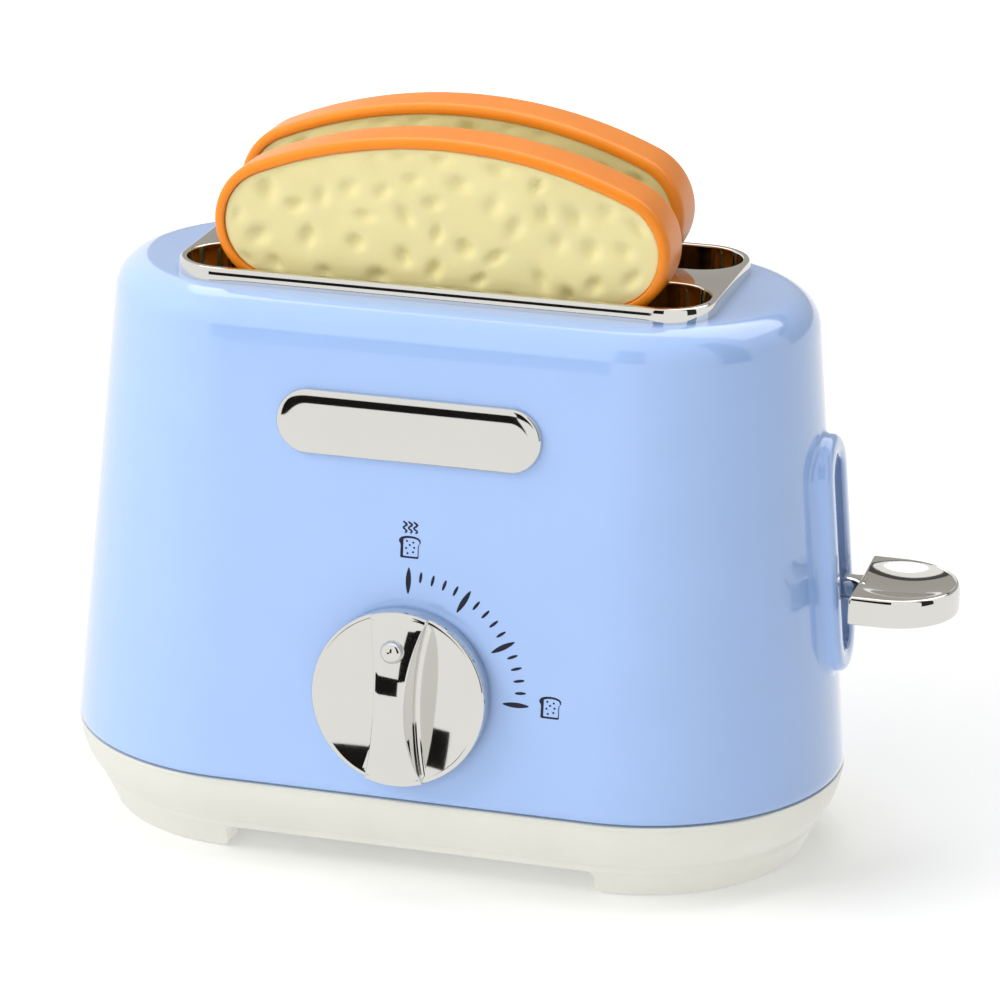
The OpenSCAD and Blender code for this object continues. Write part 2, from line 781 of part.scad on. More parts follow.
// One cream face with four pegs that meet the pegs of the other face.
module crumb() {
    face = slice_thick / 2 - crumb_recess;
    color([0.93, 0.88, 0.66]) {
        translate([0, 0, face - crumb_thick]) linear_extrude(crumb_thick) slice_outline(crust_wall);
        for (x = [-peg_x, peg_x], y = [peg_low, peg_high]) translate([x, y, 0])
            cylinder(r = peg_r, h = face - crumb_thick + eps);
    }
}

module front_crust() { in_slot(front_slice_x, -slot_y) crust(); }
module front_crumb_outer() { in_slot(front_slice_x, -slot_y) crumb(); }
module front_crumb_inner() { in_slot(front_slice_x, -slot_y) mirror([0, 0, 1]) crumb(); }
module rear_crust() { in_slot(rear_slice_x, slot_y) crust(); }
module rear_crumb_outer() { in_slot(rear_slice_x, slot_y) mirror([0, 0, 1]) crumb(); }
module rear_crumb_inner() { in_slot(rear_slice_x, slot_y) crumb(); }

// ---------- timer ----------

module timer_screw_holes(low, high) {
    for (place = spacer_places) translate([place[0], place[1], low])
        cylinder(r = timer_screw_r, h = high - low);
}

module timer_plate(z) {
    translate([0, 0, z]) linear_extrude(plate_thick) difference() {
        translate([(plate_left + plate_right) / 2, 0])
            rounded_rectangle((plate_right - plate_left) / 2, plate_half, 3);
        circle(shaft_r + bush_gap);
        for (place = [idler_place, governor_place]) translate(place) circle(arbor_r + bush_gap);
        for (place = spacer_places) translate(place) circle(timer_screw_r);
        translate(latch_place) circle(latch_pin_r);
    }
}

module timer_front_plate() {
    color([0.78, 0.7, 0.45]) on_front(dial_z) timer_plate(front_inner_z);
}

module timer_back_plate() {
    color([0.78, 0.7, 0.45]) on_front(dial_z) timer_plate(back_plate_z);
}

module timer_spacers() {
    color([0.7, 0.7, 0.72])
    on_front(dial_z) for (place = spacer_places) translate([place[0], place[1], back_inner_z]) difference() {
        cylinder(r = spacer_r, h = plate_space);
        translate([0, 0, -1]) cylinder(r = timer_screw_r, h = plate_space + 2);
    }
}

module timer_screws() {
    color([0.5, 0.5, 0.52])
    on_front(dial_z) for (place = spacer_places) translate([place[0], place[1], back_plate_z]) {
        translate([0, 0, -timer_screw_head_h]) cylinder(r = timer_screw_head_r, h = timer_screw_head_h);
        translate([0, 0, -eps]) cylinder(r = timer_screw_r, h = front_plate_z - back_plate_z + 1.4);
    }
}

// Involute gear outline. Half of a tooth's angle at radius r, thinned by the slack.
function degrees(radians) = radians * 180 / PI;
function involute_angle(r, base_r) =
    let (t = sqrt(max(pow(r / base_r, 2) - 1, 0))) degrees(t) - atan(t);
function tooth_half(r, pitch_r, teeth) =
    let (base_r = pitch_r * cos(pressure_angle))
    90 / teeth - degrees(tooth_slack / 2 / pitch_r)
        + involute_angle(pitch_r, base_r) - involute_angle(max(r, base_r), base_r);

module gear_outline(teeth, gear_module, turn) {
    pitch_r = teeth * gear_module / 2;
    base_r = pitch_r * cos(pressure_angle);
    root_r = pitch_r - 1.15 * gear_module;
    tip_r = pitch_r + 0.9 * gear_module;
    flank_low = max(root_r + 0.05, base_r);
    radii = concat([root_r], [for (i = [0 : 4]) flank_low + (tip_r - flank_low) * i / 4]);
    function flank(middle, side, order) = [for (i = order)
        let (a = middle + side * tooth_half(radii[i], pitch_r, teeth)) radii[i] * [cos(a), sin(a)]];
    last = len(radii) - 1;
    polygon([for (tooth = [0 : teeth - 1]) let (middle = turn + tooth * 360 / teeth)
        each concat(flank(middle, -1, [0 : last]), flank(middle, 1, [last : -1 : 0]))]);
}

module timer_shaft() {
    color([0.7, 0.7, 0.72])
    on_front(dial_z) translate([0, 0, shaft_end_z])
        cylinder(r = shaft_r, h = knob_gap + knob_bore - shaft_end_z);
}

module main_gear() {
    color([0.85, 0.75, 0.4])
    on_front(dial_z) difference() {
        union() {
            translate([0, 0, wheel_z]) linear_extrude(wheel_thick)
                gear_outline(wheel_teeth, first_module, 0);
            translate([0, 0, back_inner_z + 0.2]) cylinder(r = hub_r, h = wheel_z - back_inner_z);
        }
        translate([0, 0, back_inner_z - 1]) cylinder(r = shaft_r, h = plate_space);
    }
}

// A wound ribbon: its inner end is bent onto the shaft and its outer end runs out to a spacer.
module mainspring() {
    steps = 20 * ribbon_turns;
    inner_r = shaft_r + 0.04;
    pitch = (ribbon_outer_r - inner_r - ribbon_thick) / ribbon_turns;
    function ribbon_point(i, side) =
        let (a = 360 * i / 20, r = inner_r + pitch * a / 360 + side * ribbon_thick) r * [cos(a), sin(a)];
    to_spacer = spacer_places[3] - [ribbon_outer_r, 0];
    tail_length = sqrt(pow(norm(to_spacer), 2) - pow(spacer_r + eps, 2));
    tail_turn = atan2(to_spacer[1], to_spacer[0]) + atan2(spacer_r + eps, tail_length);
    color([0.4, 0.45, 0.55])
    on_front(dial_z) translate([0, 0, spring_drum_z]) linear_extrude(ribbon_width) {
        polygon(concat([for (i = [0 : steps]) ribbon_point(i, 0)],
                       [for (i = [steps : -1 : 0]) ribbon_point(i, 1)]));
        translate([ribbon_outer_r, 0]) rotate(tail_turn) translate([-1, 0])
            square([tail_length + 2, ribbon_thick]);
    }
}

module idler_gear() {
    color([0.85, 0.75, 0.4])
    on_front(dial_z) translate([idler_place[0], idler_place[1], 0]) {
        translate([0, 0, back_plate_z]) cylinder(r = arbor_r, h = plate_space + 2 * plate_thick);
        translate([0, 0, wheel_z - 0.1]) linear_extrude(wheel_thick + 0.4)
            gear_outline(pinion_teeth, first_module, 180 / pinion_teeth);
        translate([0, 0, second_z]) linear_extrude(second_thick)
            gear_outline(wheel_teeth, second_module, second_angle);
        translate([0, 0, back_inner_z + 0.2]) cylinder(r = arbor_r + 1, h = plate_space - 0.4);
    }
}

module governor_fan() {
    color([0.85, 0.75, 0.4])
    on_front(dial_z) translate([governor_place[0], governor_place[1], 0]) {
        translate([0, 0, back_plate_z]) cylinder(r = arbor_r, h = plate_space + 2 * plate_thick);
        translate([0, 0, second_z - 0.3]) linear_extrude(second_thick + 0.6)
            gear_outline(pinion_teeth, second_module, second_angle + 180 + 180 / pinion_teeth);
        translate([0, 0, back_inner_z + 0.2]) cylinder(r = arbor_r + 0.6, h = plate_space - 0.4);
        translate([-fan_r, -0.4, fan_z]) cube([2 * fan_r, 0.8, fan_height]);
    }
}

// The cam's radius falls as the knob is wound, which lets the latch's tail rise.
module timer_cam() {
    low_r = shaft_r + cam_low_r;
    function cam_r(a) = low_r + cam_lift * pow(1 - min(max(a, 0), 90) / 90, cam_ease);
    color([0.93, 0.93, 0.9])
    on_front(dial_z) translate([0, 0, latch_z]) linear_extrude(latch_thick) difference() {
        polygon(concat([for (i = [0 : 18]) cam_r(5 * i) * [cos(270 + 5 * i), sin(270 + 5 * i)]],
                       arc([0, 0], low_r, 5, 60, 6), arc([0, 0], low_r + cam_lift, 120, 265, 16)));
        circle(shaft_r);
    }
}

module latch_lever() {
    color([0.75, 0.75, 0.77])
    on_front(dial_z) translate([0, 0, latch_z]) linear_extrude(latch_thick) difference() {
        union() {
            translate(latch_place) circle(latch_arm_half + 1.5);
            translate([latch_place[0] - latch_arm_half, latch_place[1]])
                square([2 * latch_arm_half, hook_high - latch_place[1]]);
            translate([latch_place[0], hook_low])
                square([hook_reach - latch_place[0], hook_high - hook_low]);
            translate([tail_reach, tail_top - tail_thick])
                square([latch_place[0] - tail_reach, tail_thick]);
        }
        translate(latch_place) circle(latch_pin_r + bush_gap);
    }
}

module latch_pin() {
    color([0.6, 0.6, 0.62])
    on_front(dial_z) translate([latch_place[0], latch_place[1], latch_z - 4]) {
        cylinder(r = latch_pin_r, h = back_inner_z - latch_z + 4);
        cylinder(r = latch_pin_r + 1.4, h = 0.8);
    }
}

module latch_spring() {
    color([0.55, 0.55, 0.57])
    on_front(dial_z) translate([latch_place[0], latch_place[1], 0])
        coil(latch_pin_r + 0.5, 0.25, latch_z - 2.8, latch_z - 0.4, 3);
}

// A disc with a raised blade left between two scoops, and a bead near the blade's pointer end.
module knob() {
    waist = 3.5;
    scoop_r = 56.5;
    dish_low = 2.4;
    dish_sphere = (pow(knob_r, 2) + pow(knob_rim - dish_low, 2)) / (2 * (knob_rim - dish_low));
    bead_place = 12.1;
    color([0.83, 0.82, 0.8])
    on_front(dial_z) translate([0, 0, knob_gap]) {
        difference() {
            intersection() {
                cylinder(r = knob_r, h = knob_height);
                translate([0, 0, knob_height - knob_dome_r]) sphere(knob_dome_r);
            }
            difference() {
                translate([0, 0, dish_low + dish_sphere]) sphere(dish_sphere);
                difference() {
                    translate([-knob_r, -knob_r, 0]) cube([2 * knob_r, 2 * knob_r, knob_height]);
                    for (side = [-1, 1]) translate([side * (waist + scoop_r), 0, -1])
                        cylinder(r = scoop_r, h = knob_height + 2);
                }
            }
            translate([0, 0, -1]) cylinder(r = shaft_r, h = knob_bore + 1);
        }
        translate([0, bead_place, knob_height - 1.9]) sphere(2.6);
    }
}

placed() body_shell();
placed() base_tray();
placed() slot_trim();
placed() name_plate();
placed() plate_push_nuts();
placed() trim_screws();
placed() base_screws();
placed() guide_rods();
placed() return_springs();
placed() toast_carriage();
placed() lever_arm();
placed() arm_screws();
placed() lever_handle();
placed() handle_pin();
placed() front_crust();
placed() front_crumb_outer();
placed() front_crumb_inner();
placed() rear_crust();
placed() rear_crumb_outer();
placed() rear_crumb_inner();
placed() timer_front_plate();
placed() timer_back_plate();
placed() timer_spacers();
placed() timer_screws();
placed() timer_shaft();
placed() main_gear();
placed() mainspring();
placed() idler_gear();
placed() governor_fan();
placed() timer_cam();
placed() latch_lever();
placed() latch_pin();
placed() latch_spring();
placed() knob();
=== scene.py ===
"""Toy pop-up toaster: the dressed visual model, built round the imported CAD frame.

Shapes are drawn in millimetres in the body's own frame, whose middle is at x = y = 0, and are
moved to the row frame as they are made into objects."""
import json
import math

import bpy
import bmesh
import numpy as np
from mathutils import Matrix, Vector
from mathutils.geometry import delaunay_2d_cdt


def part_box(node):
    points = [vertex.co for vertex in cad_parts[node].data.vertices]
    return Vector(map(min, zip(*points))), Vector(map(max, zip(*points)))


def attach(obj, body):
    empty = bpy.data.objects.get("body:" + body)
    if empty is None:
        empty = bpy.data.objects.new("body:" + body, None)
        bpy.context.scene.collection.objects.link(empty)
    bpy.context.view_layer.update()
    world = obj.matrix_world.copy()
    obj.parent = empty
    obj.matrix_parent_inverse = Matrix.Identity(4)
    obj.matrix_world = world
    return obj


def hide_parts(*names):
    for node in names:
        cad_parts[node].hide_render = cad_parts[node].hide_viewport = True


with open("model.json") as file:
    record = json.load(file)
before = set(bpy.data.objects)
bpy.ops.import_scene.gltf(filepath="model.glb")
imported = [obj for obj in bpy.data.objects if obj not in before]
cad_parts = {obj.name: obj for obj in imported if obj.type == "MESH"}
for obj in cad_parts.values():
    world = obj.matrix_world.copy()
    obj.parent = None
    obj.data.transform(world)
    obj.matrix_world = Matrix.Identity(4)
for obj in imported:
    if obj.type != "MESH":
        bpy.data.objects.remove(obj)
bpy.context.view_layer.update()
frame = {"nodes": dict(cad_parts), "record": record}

MM = 0.001
TRAY_LOW, TRAY_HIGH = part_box("base_tray")
SHIFT = np.array([(TRAY_LOW[0] + TRAY_HIGH[0]) / 2, (TRAY_LOW[1] + TRAY_HIGH[1]) / 2, 0.0])

# Sizes in millimetres, within half a millimetre of the CAD's.
# The plan is a stadium: END_R is its end radius at the seam and END_X the middle of each end.
END_R = 47.3
END_X = 42.7
SEAM = 19.9
SEAM_GAP = 0.35
SEAM_TUCK = 0.3
TOP = 129.7
LEAN = math.radians(5.2)
TOP_ROUND = 8.0
ROUND_Z = TOP - TOP_ROUND
WALL = 2.4
STEP_Z = 8.1
STEP_INSET = 4.7
STRIP_INSET = 5.4
FOOT_Z = 6.1
FOOT_R = 38.8
FOOT_BAND = 8.0
FOOT_FLARE = 2.6
TRIM_TOP = 133.0
TRIM_SKIN = 1.5
TRIM_SINK = 0.3
SLOT_R = 9.9
SLOT_HALF = 59.7
SLOT_Y = 15.9
TRIM_X = 61.4
TRIM_Y = 27.9
TRIM_CORNER = 11.6
# How far the trim reaches past the shell's hole, in x, in y and in its corner radius.
TRIM_LAP = (0.55, 0.95, 0.65)
COLLAR_WALL = 1.0
COLLAR_LOW = 105.0
PLATE_Z = 104.0
PLATE_X = -1.2
PLATE_HALF = 30.15
PLATE_R = 7.3
PLATE_PROUD = 1.8
RIM_LOW = 45.0
RIM_HIGH = 99.7
RIM_REACH = 91.1
RIM_LEAN = math.radians(5.2)
RIM_HALF = 9.5
LEVER_SLOT_HALF = 4.4
HANDLE_Z = 60.9
HANDLE_THICK = 6.5
HANDLE_BACK = 92.7
HANDLE_TIP = 115.0
HANDLE_R = 15.0
DIAL_Z = 45.0
PRINT_LOW, PRINT_HIGH = -0.05, 0.03
KNOB_R = 19.9
KNOB_RIM = 5.5
KNOB_LOW = 2.4
KNOB_HEIGHT = 12.0
KNOB_GAP = 0.8
BEAD_OUT, BEAD_SINK, BEAD_R = 12.1, 1.8, 2.6
SHELF_Z = 75.0
SLICE_WIDTH = 103.8
SLICE_HEIGHT = 90.0
SLICE_THICK = 13.5
CRUST_WALL = 2.4
CRUMB_RECESS = 0.75
REAR_SLICE_X = -4.5

# Counts of the meshes.
ARC_STEPS = 120
SIDE_STEPS = 40


def wall_r(z):
    """Radius of the leaning wall's round ends at a height."""
    return END_R - (z - SEAM) * math.tan(LEAN)


ROUND_R = wall_r(ROUND_Z) - TOP_ROUND / math.cos(LEAN)


# ---------- mesh helpers ----------

def make(name, parts, material, body, stands_for=(), sharp=35.0):
    """One object from (points, faces) parts in body-frame millimetres, riding on a body."""
    points, faces, start = [], [], 0
    for part_points, part_faces in parts:
        points.append(np.asarray(part_points, float).reshape(-1, 3))
        faces += [tuple(start + i for i in face) for face in part_faces]
        start += len(points[-1])
    placed = np.concatenate(points) * MM + SHIFT
    mesh = bpy.data.meshes.new(name)
    mesh.from_pydata(placed.tolist(), [], faces)
    work = bmesh.new()
    work.from_mesh(mesh)
    bmesh.ops.remove_doubles(work, verts=work.verts, dist=2e-6)
    bmesh.ops.dissolve_degenerate(work, edges=work.edges, dist=1e-7)
    bmesh.ops.recalc_face_normals(work, faces=work.faces)
    work.to_mesh(mesh)
    work.free()
    mesh.shade_smooth()
    mesh.set_sharp_from_angle(angle=math.radians(sharp))
    mesh.materials.append(material)
    piece = bpy.data.objects.new(name, mesh)
    bpy.context.scene.collection.objects.link(piece)
    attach(piece, body)
    if stands_for:
        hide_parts(*stands_for)


def strip(rows, columns, closed=True, skip=None, start=0):
    """Quads between successive rows of a grid of points."""
    faces = []
    for row in range(rows - 1):
        for column in range(columns if closed else columns - 1):
            if skip and skip(row, column):
                continue
            after = (column + 1) % columns
            a = start + row * columns
            b = a + columns
            faces.append((a + column, a + after, b + after, b + column))
    return faces


def loft(rings, closed=True, cap_start=False, cap_end=False):
    """A skin over successive rings of points, with a flat cap where asked."""
    rings = np.asarray(rings, float)
    rows, columns = rings.shape[:2]
    faces = strip(rows, columns, closed)
    if cap_start:
        faces.append(tuple(range(columns)))
    if cap_end:
        faces.append(tuple(range((rows - 1) * columns, rows * columns))[::-1])
    return rings.reshape(-1, 3), faces


def lift(flat, z):
    """Flat points at one height, or at a height for each."""
    return np.column_stack([flat, np.full(len(flat), z)])


def quarter_turn(count):
    """Angles from 0 to 90 degrees."""
    return np.linspace(0, math.pi / 2, count)


def quarter(steps):
    """(1 - cos, 1 - sin) pairs from 0 to 90 degrees, for rounded edges."""
    return [(1 - math.cos(a), 1 - math.sin(a)) for a in quarter_turn(steps + 1)]


def stadium_path(n_arc, n_side, half=END_X):
    """Places on a stadium's middle line, and the outward direction at each, anticlockwise."""
    base, way = [], []
    for side in (1, -1):
        for i in range(n_arc):
            a = math.radians(-90 * side + 180 * i / n_arc)
            base.append((half * side, 0))
            way.append((math.cos(a) if side > 0 else -abs(math.cos(a)), math.sin(a)))
        for i in range(n_side):
            base.append((half * side * (1 - 2 * i / n_side), 0))
            way.append((0, side))
    return np.array(base, float), np.array(way, float)


def rounded_box_path(half_x, half_y, corner, per_corner, per_x, per_y):
    """(middle, outward) pairs round a rectangle with round corners, anticlockwise."""
    base, way = [], []
    corners = [(1, -1), (1, 1), (-1, 1), (-1, -1)]
    for k, (sx, sy) in enumerate(corners):
        middle = np.array([sx * (half_x - corner), sy * (half_y - corner)])
        for i in range(per_corner):
            a = math.radians(-90 + 90 * k + 90 * i / per_corner)
            base.append(middle)
            way.append((math.cos(a), math.sin(a)))
        nx, ny = corners[(k + 1) % 4]
        following = np.array([nx * (half_x - corner), ny * (half_y - corner)])
        count = per_y if k % 2 == 0 else per_x
        a = math.radians(90 * k)
        for i in range(count):
            base.append(middle + (following - middle) * i / count)
            way.append((math.cos(a), math.sin(a)))
    return np.array(base), np.array(way)


def ring(path, radius, z):
    """The path moved outwards by the radius, at one height or at a height for each point."""
    base, way = path
    return lift(base + way * radius, z)


def steep_edge(radius, steep):
    """(inward, down) pairs of an edge: a small round, then a tall band that turns upright slowly."""
    start, end = math.radians(74), math.radians(85)
    large = steep / (end - start)
    pairs = [(radius * math.sin(a), radius * (1 - math.cos(a))) for a in np.linspace(0, start, 9)]
    out, down = pairs[-1]
    pairs += [(out + large * (math.sin(a) - math.sin(start)),
               down + large * (math.cos(start) - math.cos(a)))
              for a in np.linspace(start, end, 7)[1:]]
    reach = pairs[-1][0]
    return [(reach - out, down) for out, down in pairs]


def rounded_box_gap(x, y, half_x, half_y, corner):
    """Signed distance to a rectangle with round corners, negative inside."""
    qx, qy = np.abs(x) - half_x + corner, np.abs(y) - half_y + corner
    return np.hypot(np.maximum(qx, 0), np.maximum(qy, 0)) + np.minimum(np.maximum(qx, qy), 0) - corner


def on_front(points, z, x=0.0):
    """Puts (sideways, up, out) points on the leaning front wall."""
    p = np.asarray(points, float).reshape(-1, 3)
    sin, cos = math.sin(LEAN), math.cos(LEAN)
    return np.column_stack([p[:, 0] + x, -wall_r(z) + p[:, 1] * sin - p[:, 2] * cos,
                            z + p[:, 1] * cos + p[:, 2] * sin])


def solve(gap, low, high, steps=40):
    """Where gap changes from negative to positive, for many rays at once, by halving."""
    low, high = low.copy(), high.copy()
    for _ in range(steps):
        middle = (low + high) / 2
        inside = gap(middle) < 0
        low = np.where(inside, middle, low)
        high = np.where(inside, high, middle)
    return (low + high) / 2


# ---------- materials ----------

def noise(tree, vector, scale, detail):
    """The value of a noise texture."""
    node = tree.nodes.new("ShaderNodeTexNoise")
    node.inputs["Scale"].default_value = scale
    node.inputs["Detail"].default_value = detail
    tree.links.new(vector, node.inputs["Vector"])
    return node.outputs["Fac"]


def material(name, colour, rough, metal=0.0, coat=0.0, coat_rough=0.05, tint=0.03, grain=900.0,
             bump=0.0, bump_scale=2500.0, rough_swing=0.04, subsurface=0.0, stretch=(1, 1, 1)):
    """A shader with slightly uneven colour, uneven roughness and a fine bump, all from noise."""
    made = bpy.data.materials.new(name)
    made.use_nodes = True
    tree = made.node_tree
    nodes, links = tree.nodes, tree.links
    shader = nodes["Principled BSDF"]
    settings = {"Metallic": metal, "IOR": 1.5, "Coat Weight": coat, "Coat Roughness": coat_rough}
    if subsurface:
        settings.update({"Subsurface Weight": subsurface, "Subsurface Radius": (0.004, 0.002, 0.001),
                         "Subsurface Scale": 0.4})
    for socket, value in settings.items():
        shader.inputs[socket].default_value = value
    place = nodes.new("ShaderNodeTexCoord")
    mapping = nodes.new("ShaderNodeMapping")
    mapping.inputs["Scale"].default_value = stretch
    links.new(place.outputs["Object"], mapping.inputs["Vector"])
    vector = mapping.outputs["Vector"]
    tone = nodes.new("ShaderNodeValToRGB")
    dull, bright = tone.color_ramp.elements
    dull.position, bright.position = 0.3, 0.7
    dull.color = [c * (1 - tint) for c in colour] + [1]
    bright.color = [min(c * (1 + tint), 1) for c in colour] + [1]
    links.new(noise(tree, vector, grain / 12, 3), tone.inputs["Fac"])
    links.new(tone.outputs["Color"], shader.inputs["Base Color"])
    spread = nodes.new("ShaderNodeMapRange")
    spread.inputs["To Min"].default_value = max(rough - rough_swing, 0.01)
    spread.inputs["To Max"].default_value = rough + rough_swing
    links.new(noise(tree, vector, grain, 4), spread.inputs["Value"])
    links.new(spread.outputs["Result"], shader.inputs["Roughness"])
    if bump:
        raised = nodes.new("ShaderNodeBump")
        raised.inputs["Strength"].default_value = 1.0
        raised.inputs["Distance"].default_value = bump
        links.new(noise(tree, vector, bump_scale, 3), raised.inputs["Height"])
        links.new(raised.outputs["Normal"], shader.inputs["Normal"])
    return made


BLUE = material("blue_gloss_plastic", (0.385, 0.57, 0.965), 0.16, coat=1.0, coat_rough=0.04, tint=0.012,
                bump=0.000004, bump_scale=140)
SATIN = material("satin_silver", (0.83, 0.83, 0.755), 0.34, metal=0.5, tint=0.02, bump=0.000012,
                 bump_scale=1800)
CHROME = material("bright_chrome", (0.725, 0.715, 0.68), 0.05, metal=1.0, tint=0.01, rough_swing=0.02,
                  bump=0.000002, bump_scale=160)
CRUST = material("crust_plastic", (0.92, 0.265, 0.008), 0.34, tint=0.03, subsurface=0.1, bump=0.00002,
                 bump_scale=900)
CRUMB = material("crumb_plastic", (0.82, 0.74, 0.37), 0.36, tint=0.05, grain=500, subsurface=0.12,
                 bump=0.00006, bump_scale=420)
INK = material("navy_print", (0.006, 0.006, 0.022), 0.6, tint=0.1)
DARK = material("dark_plastic", (0.035, 0.036, 0.042), 0.5, tint=0.08, bump=0.00002)
STEEL = material("brushed_steel", (0.52, 0.52, 0.54), 0.3, metal=1.0, tint=0.05, stretch=(1, 1, 14),
                 bump=0.00001)
BRASS = material("timer_brass", (0.62, 0.45, 0.16), 0.32, metal=1.0, tint=0.06, bump=0.00001)
WHITE = material("cam_plastic", (0.78, 0.78, 0.74), 0.45, tint=0.03, bump=0.00001)

# The CAD pieces inside keep their meshes and take these looks.
INNER_LOOKS = {"dark_plastic": DARK, "steel": STEEL, "brass": BRASS, "white_plastic": WHITE}
for part in frame["record"]["subparts"]:
    if part["material_slot"] in INNER_LOOKS:
        for socket in frame["nodes"][part["node"]].material_slots:
            socket.material = INNER_LOOKS[part["material_slot"]]


# ---------- body shell ----------

RIM_STRAIGHT = ((RIM_HIGH - RIM_LOW) / math.cos(RIM_LEAN) - 2 * RIM_HALF) / 2
RIM_MID = np.array([RIM_REACH - (RIM_HIGH - RIM_LOW) / 2 * math.tan(RIM_LEAN), 0,
                    (RIM_LOW + RIM_HIGH) / 2])
RIM_UP = np.array([-math.sin(RIM_LEAN), 0, math.cos(RIM_LEAN)])
RIM_OUT = np.array([math.cos(RIM_LEAN), 0, math.sin(RIM_LEAN)])


def shell_rows(path, inset, heights, top_steps):
    """Rows of points up the wall, over the rounded edge and in to the hole under the trim."""
    base, way = path
    count = len(base)
    rows = []
    arc_r = TOP_ROUND - inset
    tangent_z = ROUND_Z + arc_r * math.sin(LEAN)
    for z in list(heights) + [tangent_z]:
        rows.append(ring(path, wall_r(z) - inset / math.cos(LEAN), z))

    def gap(reach):
        p = base + way * reach[:, None]
        return rounded_box_gap(p[:, 0], p[:, 1], TRIM_X - TRIM_LAP[0], TRIM_Y - TRIM_LAP[1],
                               TRIM_CORNER - TRIM_LAP[2])

    beyond_edge = 60.0
    reach = solve(gap, np.zeros(count), np.full(count, beyond_edge))
    beta_end = np.arccos(np.clip((reach - ROUND_R) / arc_r, 0, 1))
    arc_length = arc_r * (beta_end - LEAN)
    total = arc_length + np.maximum(ROUND_R - reach, 0)
    for k in range(1, top_steps + 1):
        along = total * k / top_steps
        beta = LEAN + np.minimum(along, arc_length) / arc_r
        radius = ROUND_R + arc_r * np.cos(beta) - np.maximum(along - arc_length, 0)
        height = ROUND_Z + arc_r * np.sin(beta)
        rows.append(np.column_stack([base + way * radius[:, None], height]))
    return np.array(rows)


def window_border(count, row_low, row_high, first, last):
    """Indices of the shell's points once round its window."""
    loop = [(row_low, c) for c in range(first, last + 1)]
    loop += [(r, last) for r in range(row_low + 1, row_high + 1)]
    loop += [(row_high, c) for c in range(last - 1, first - 1, -1)]
    loop += [(r, first) for r in range(row_high - 1, row_low, -1)]
    return np.array([r * count + c for r, c in loop])


def rim_point(y, v, depth):
    """Points y across and v along the rim, behind its front plane by the depth."""
    return (RIM_MID + v[:, None] * RIM_UP + y[:, None] * np.array([0, 1.0, 0])
            - np.asarray(depth)[:, None] * RIM_OUT)


def wall_depth(y, v, inset):
    """How far behind the rim's front plane the wall's skin lies."""
    def gap(depth):
        p = rim_point(y, v, depth)
        return wall_r(p[:, 2]) - inset / math.cos(LEAN) - np.hypot(p[:, 0] - END_X, p[:, 1])

    nearest, farthest = -6.0, 20.0
    return solve(gap, np.full(len(y), nearest), np.full(len(y), farthest))


def on_end_wall(y, z, inset):
    """Points of the lever end's wall."""
    radius = wall_r(z) - inset / math.cos(LEAN)
    return np.column_stack([END_X + np.sqrt(radius ** 2 - y ** 2), y, z])


def rim_rings(edge, inner_edge):
    """Rings from the window's border up over the rim, through the slot and out to the inner border."""
    cove_share, cove_least, cove_most = 0.42, 1.1, 2.4
    edge_round, slot_round = 1.7, 0.6
    slot_in = RIM_HALF - LEVER_SLOT_HALF
    along = (edge[:, 2] - RIM_MID[2]) / math.cos(RIM_LEAN)
    middle = np.clip(along, -RIM_STRAIGHT, RIM_STRAIGHT)
    unit = np.column_stack([edge[:, 1], along - middle])
    unit /= np.linalg.norm(unit, axis=1)[:, None]

    def outline(offset):
        reach = RIM_HALF + offset
        return unit[:, 0] * reach, middle + unit[:, 1] * reach

    def level(offset, depth):
        y, v = outline(offset)
        return rim_point(y, v, np.full(len(y), depth))

    y, v = outline(0)
    cove = np.clip(cove_share * wall_depth(y, v, 0), cove_least, cove_most)
    y, v = outline(cove)
    cove_foot = rim_point(y, v, wall_depth(y, v, 0))
    rings = []
    for t in [k / 6 for k in range(1, 6)]:
        rings.append(on_end_wall(edge[:, 1] * (1 - t) + cove_foot[:, 1] * t,
                                 edge[:, 2] * (1 - t) + cove_foot[:, 2] * t, 0))
    for a in quarter_turn(9):
        y, v = outline(cove * (1 - math.sin(a)))
        rings.append(rim_point(y, v, wall_depth(y, v, 0) - cove * (1 - math.cos(a))))
    for back, drop in quarter(7):
        rings.append(level(-edge_round * back, edge_round * drop))
    for t in (0.35, 0.7):
        rings.append(level(-edge_round - (slot_in - slot_round - edge_round) * t, 0.0))
    for _, back in quarter(4)[::-1]:
        depth = slot_round * (1 - math.sqrt(max(1 - (1 - back) ** 2, 0)))
        rings.append(level(-slot_in + slot_round * back, depth))
    y, v = outline(-slot_in)
    bottom = wall_depth(y, v, WALL)
    rings.append(rim_point(y, v, (bottom + slot_round) / 2))
    rings.append(rim_point(y, v, bottom))
    last_ring = rings[-1]
    for t in [k / 5 for k in range(1, 5)]:
        rings.append(on_end_wall(last_ring[:, 1] * (1 - t) + inner_edge[:, 1] * t,
                                 last_ring[:, 2] * (1 - t) + inner_edge[:, 2] * t, WALL))
    return rings


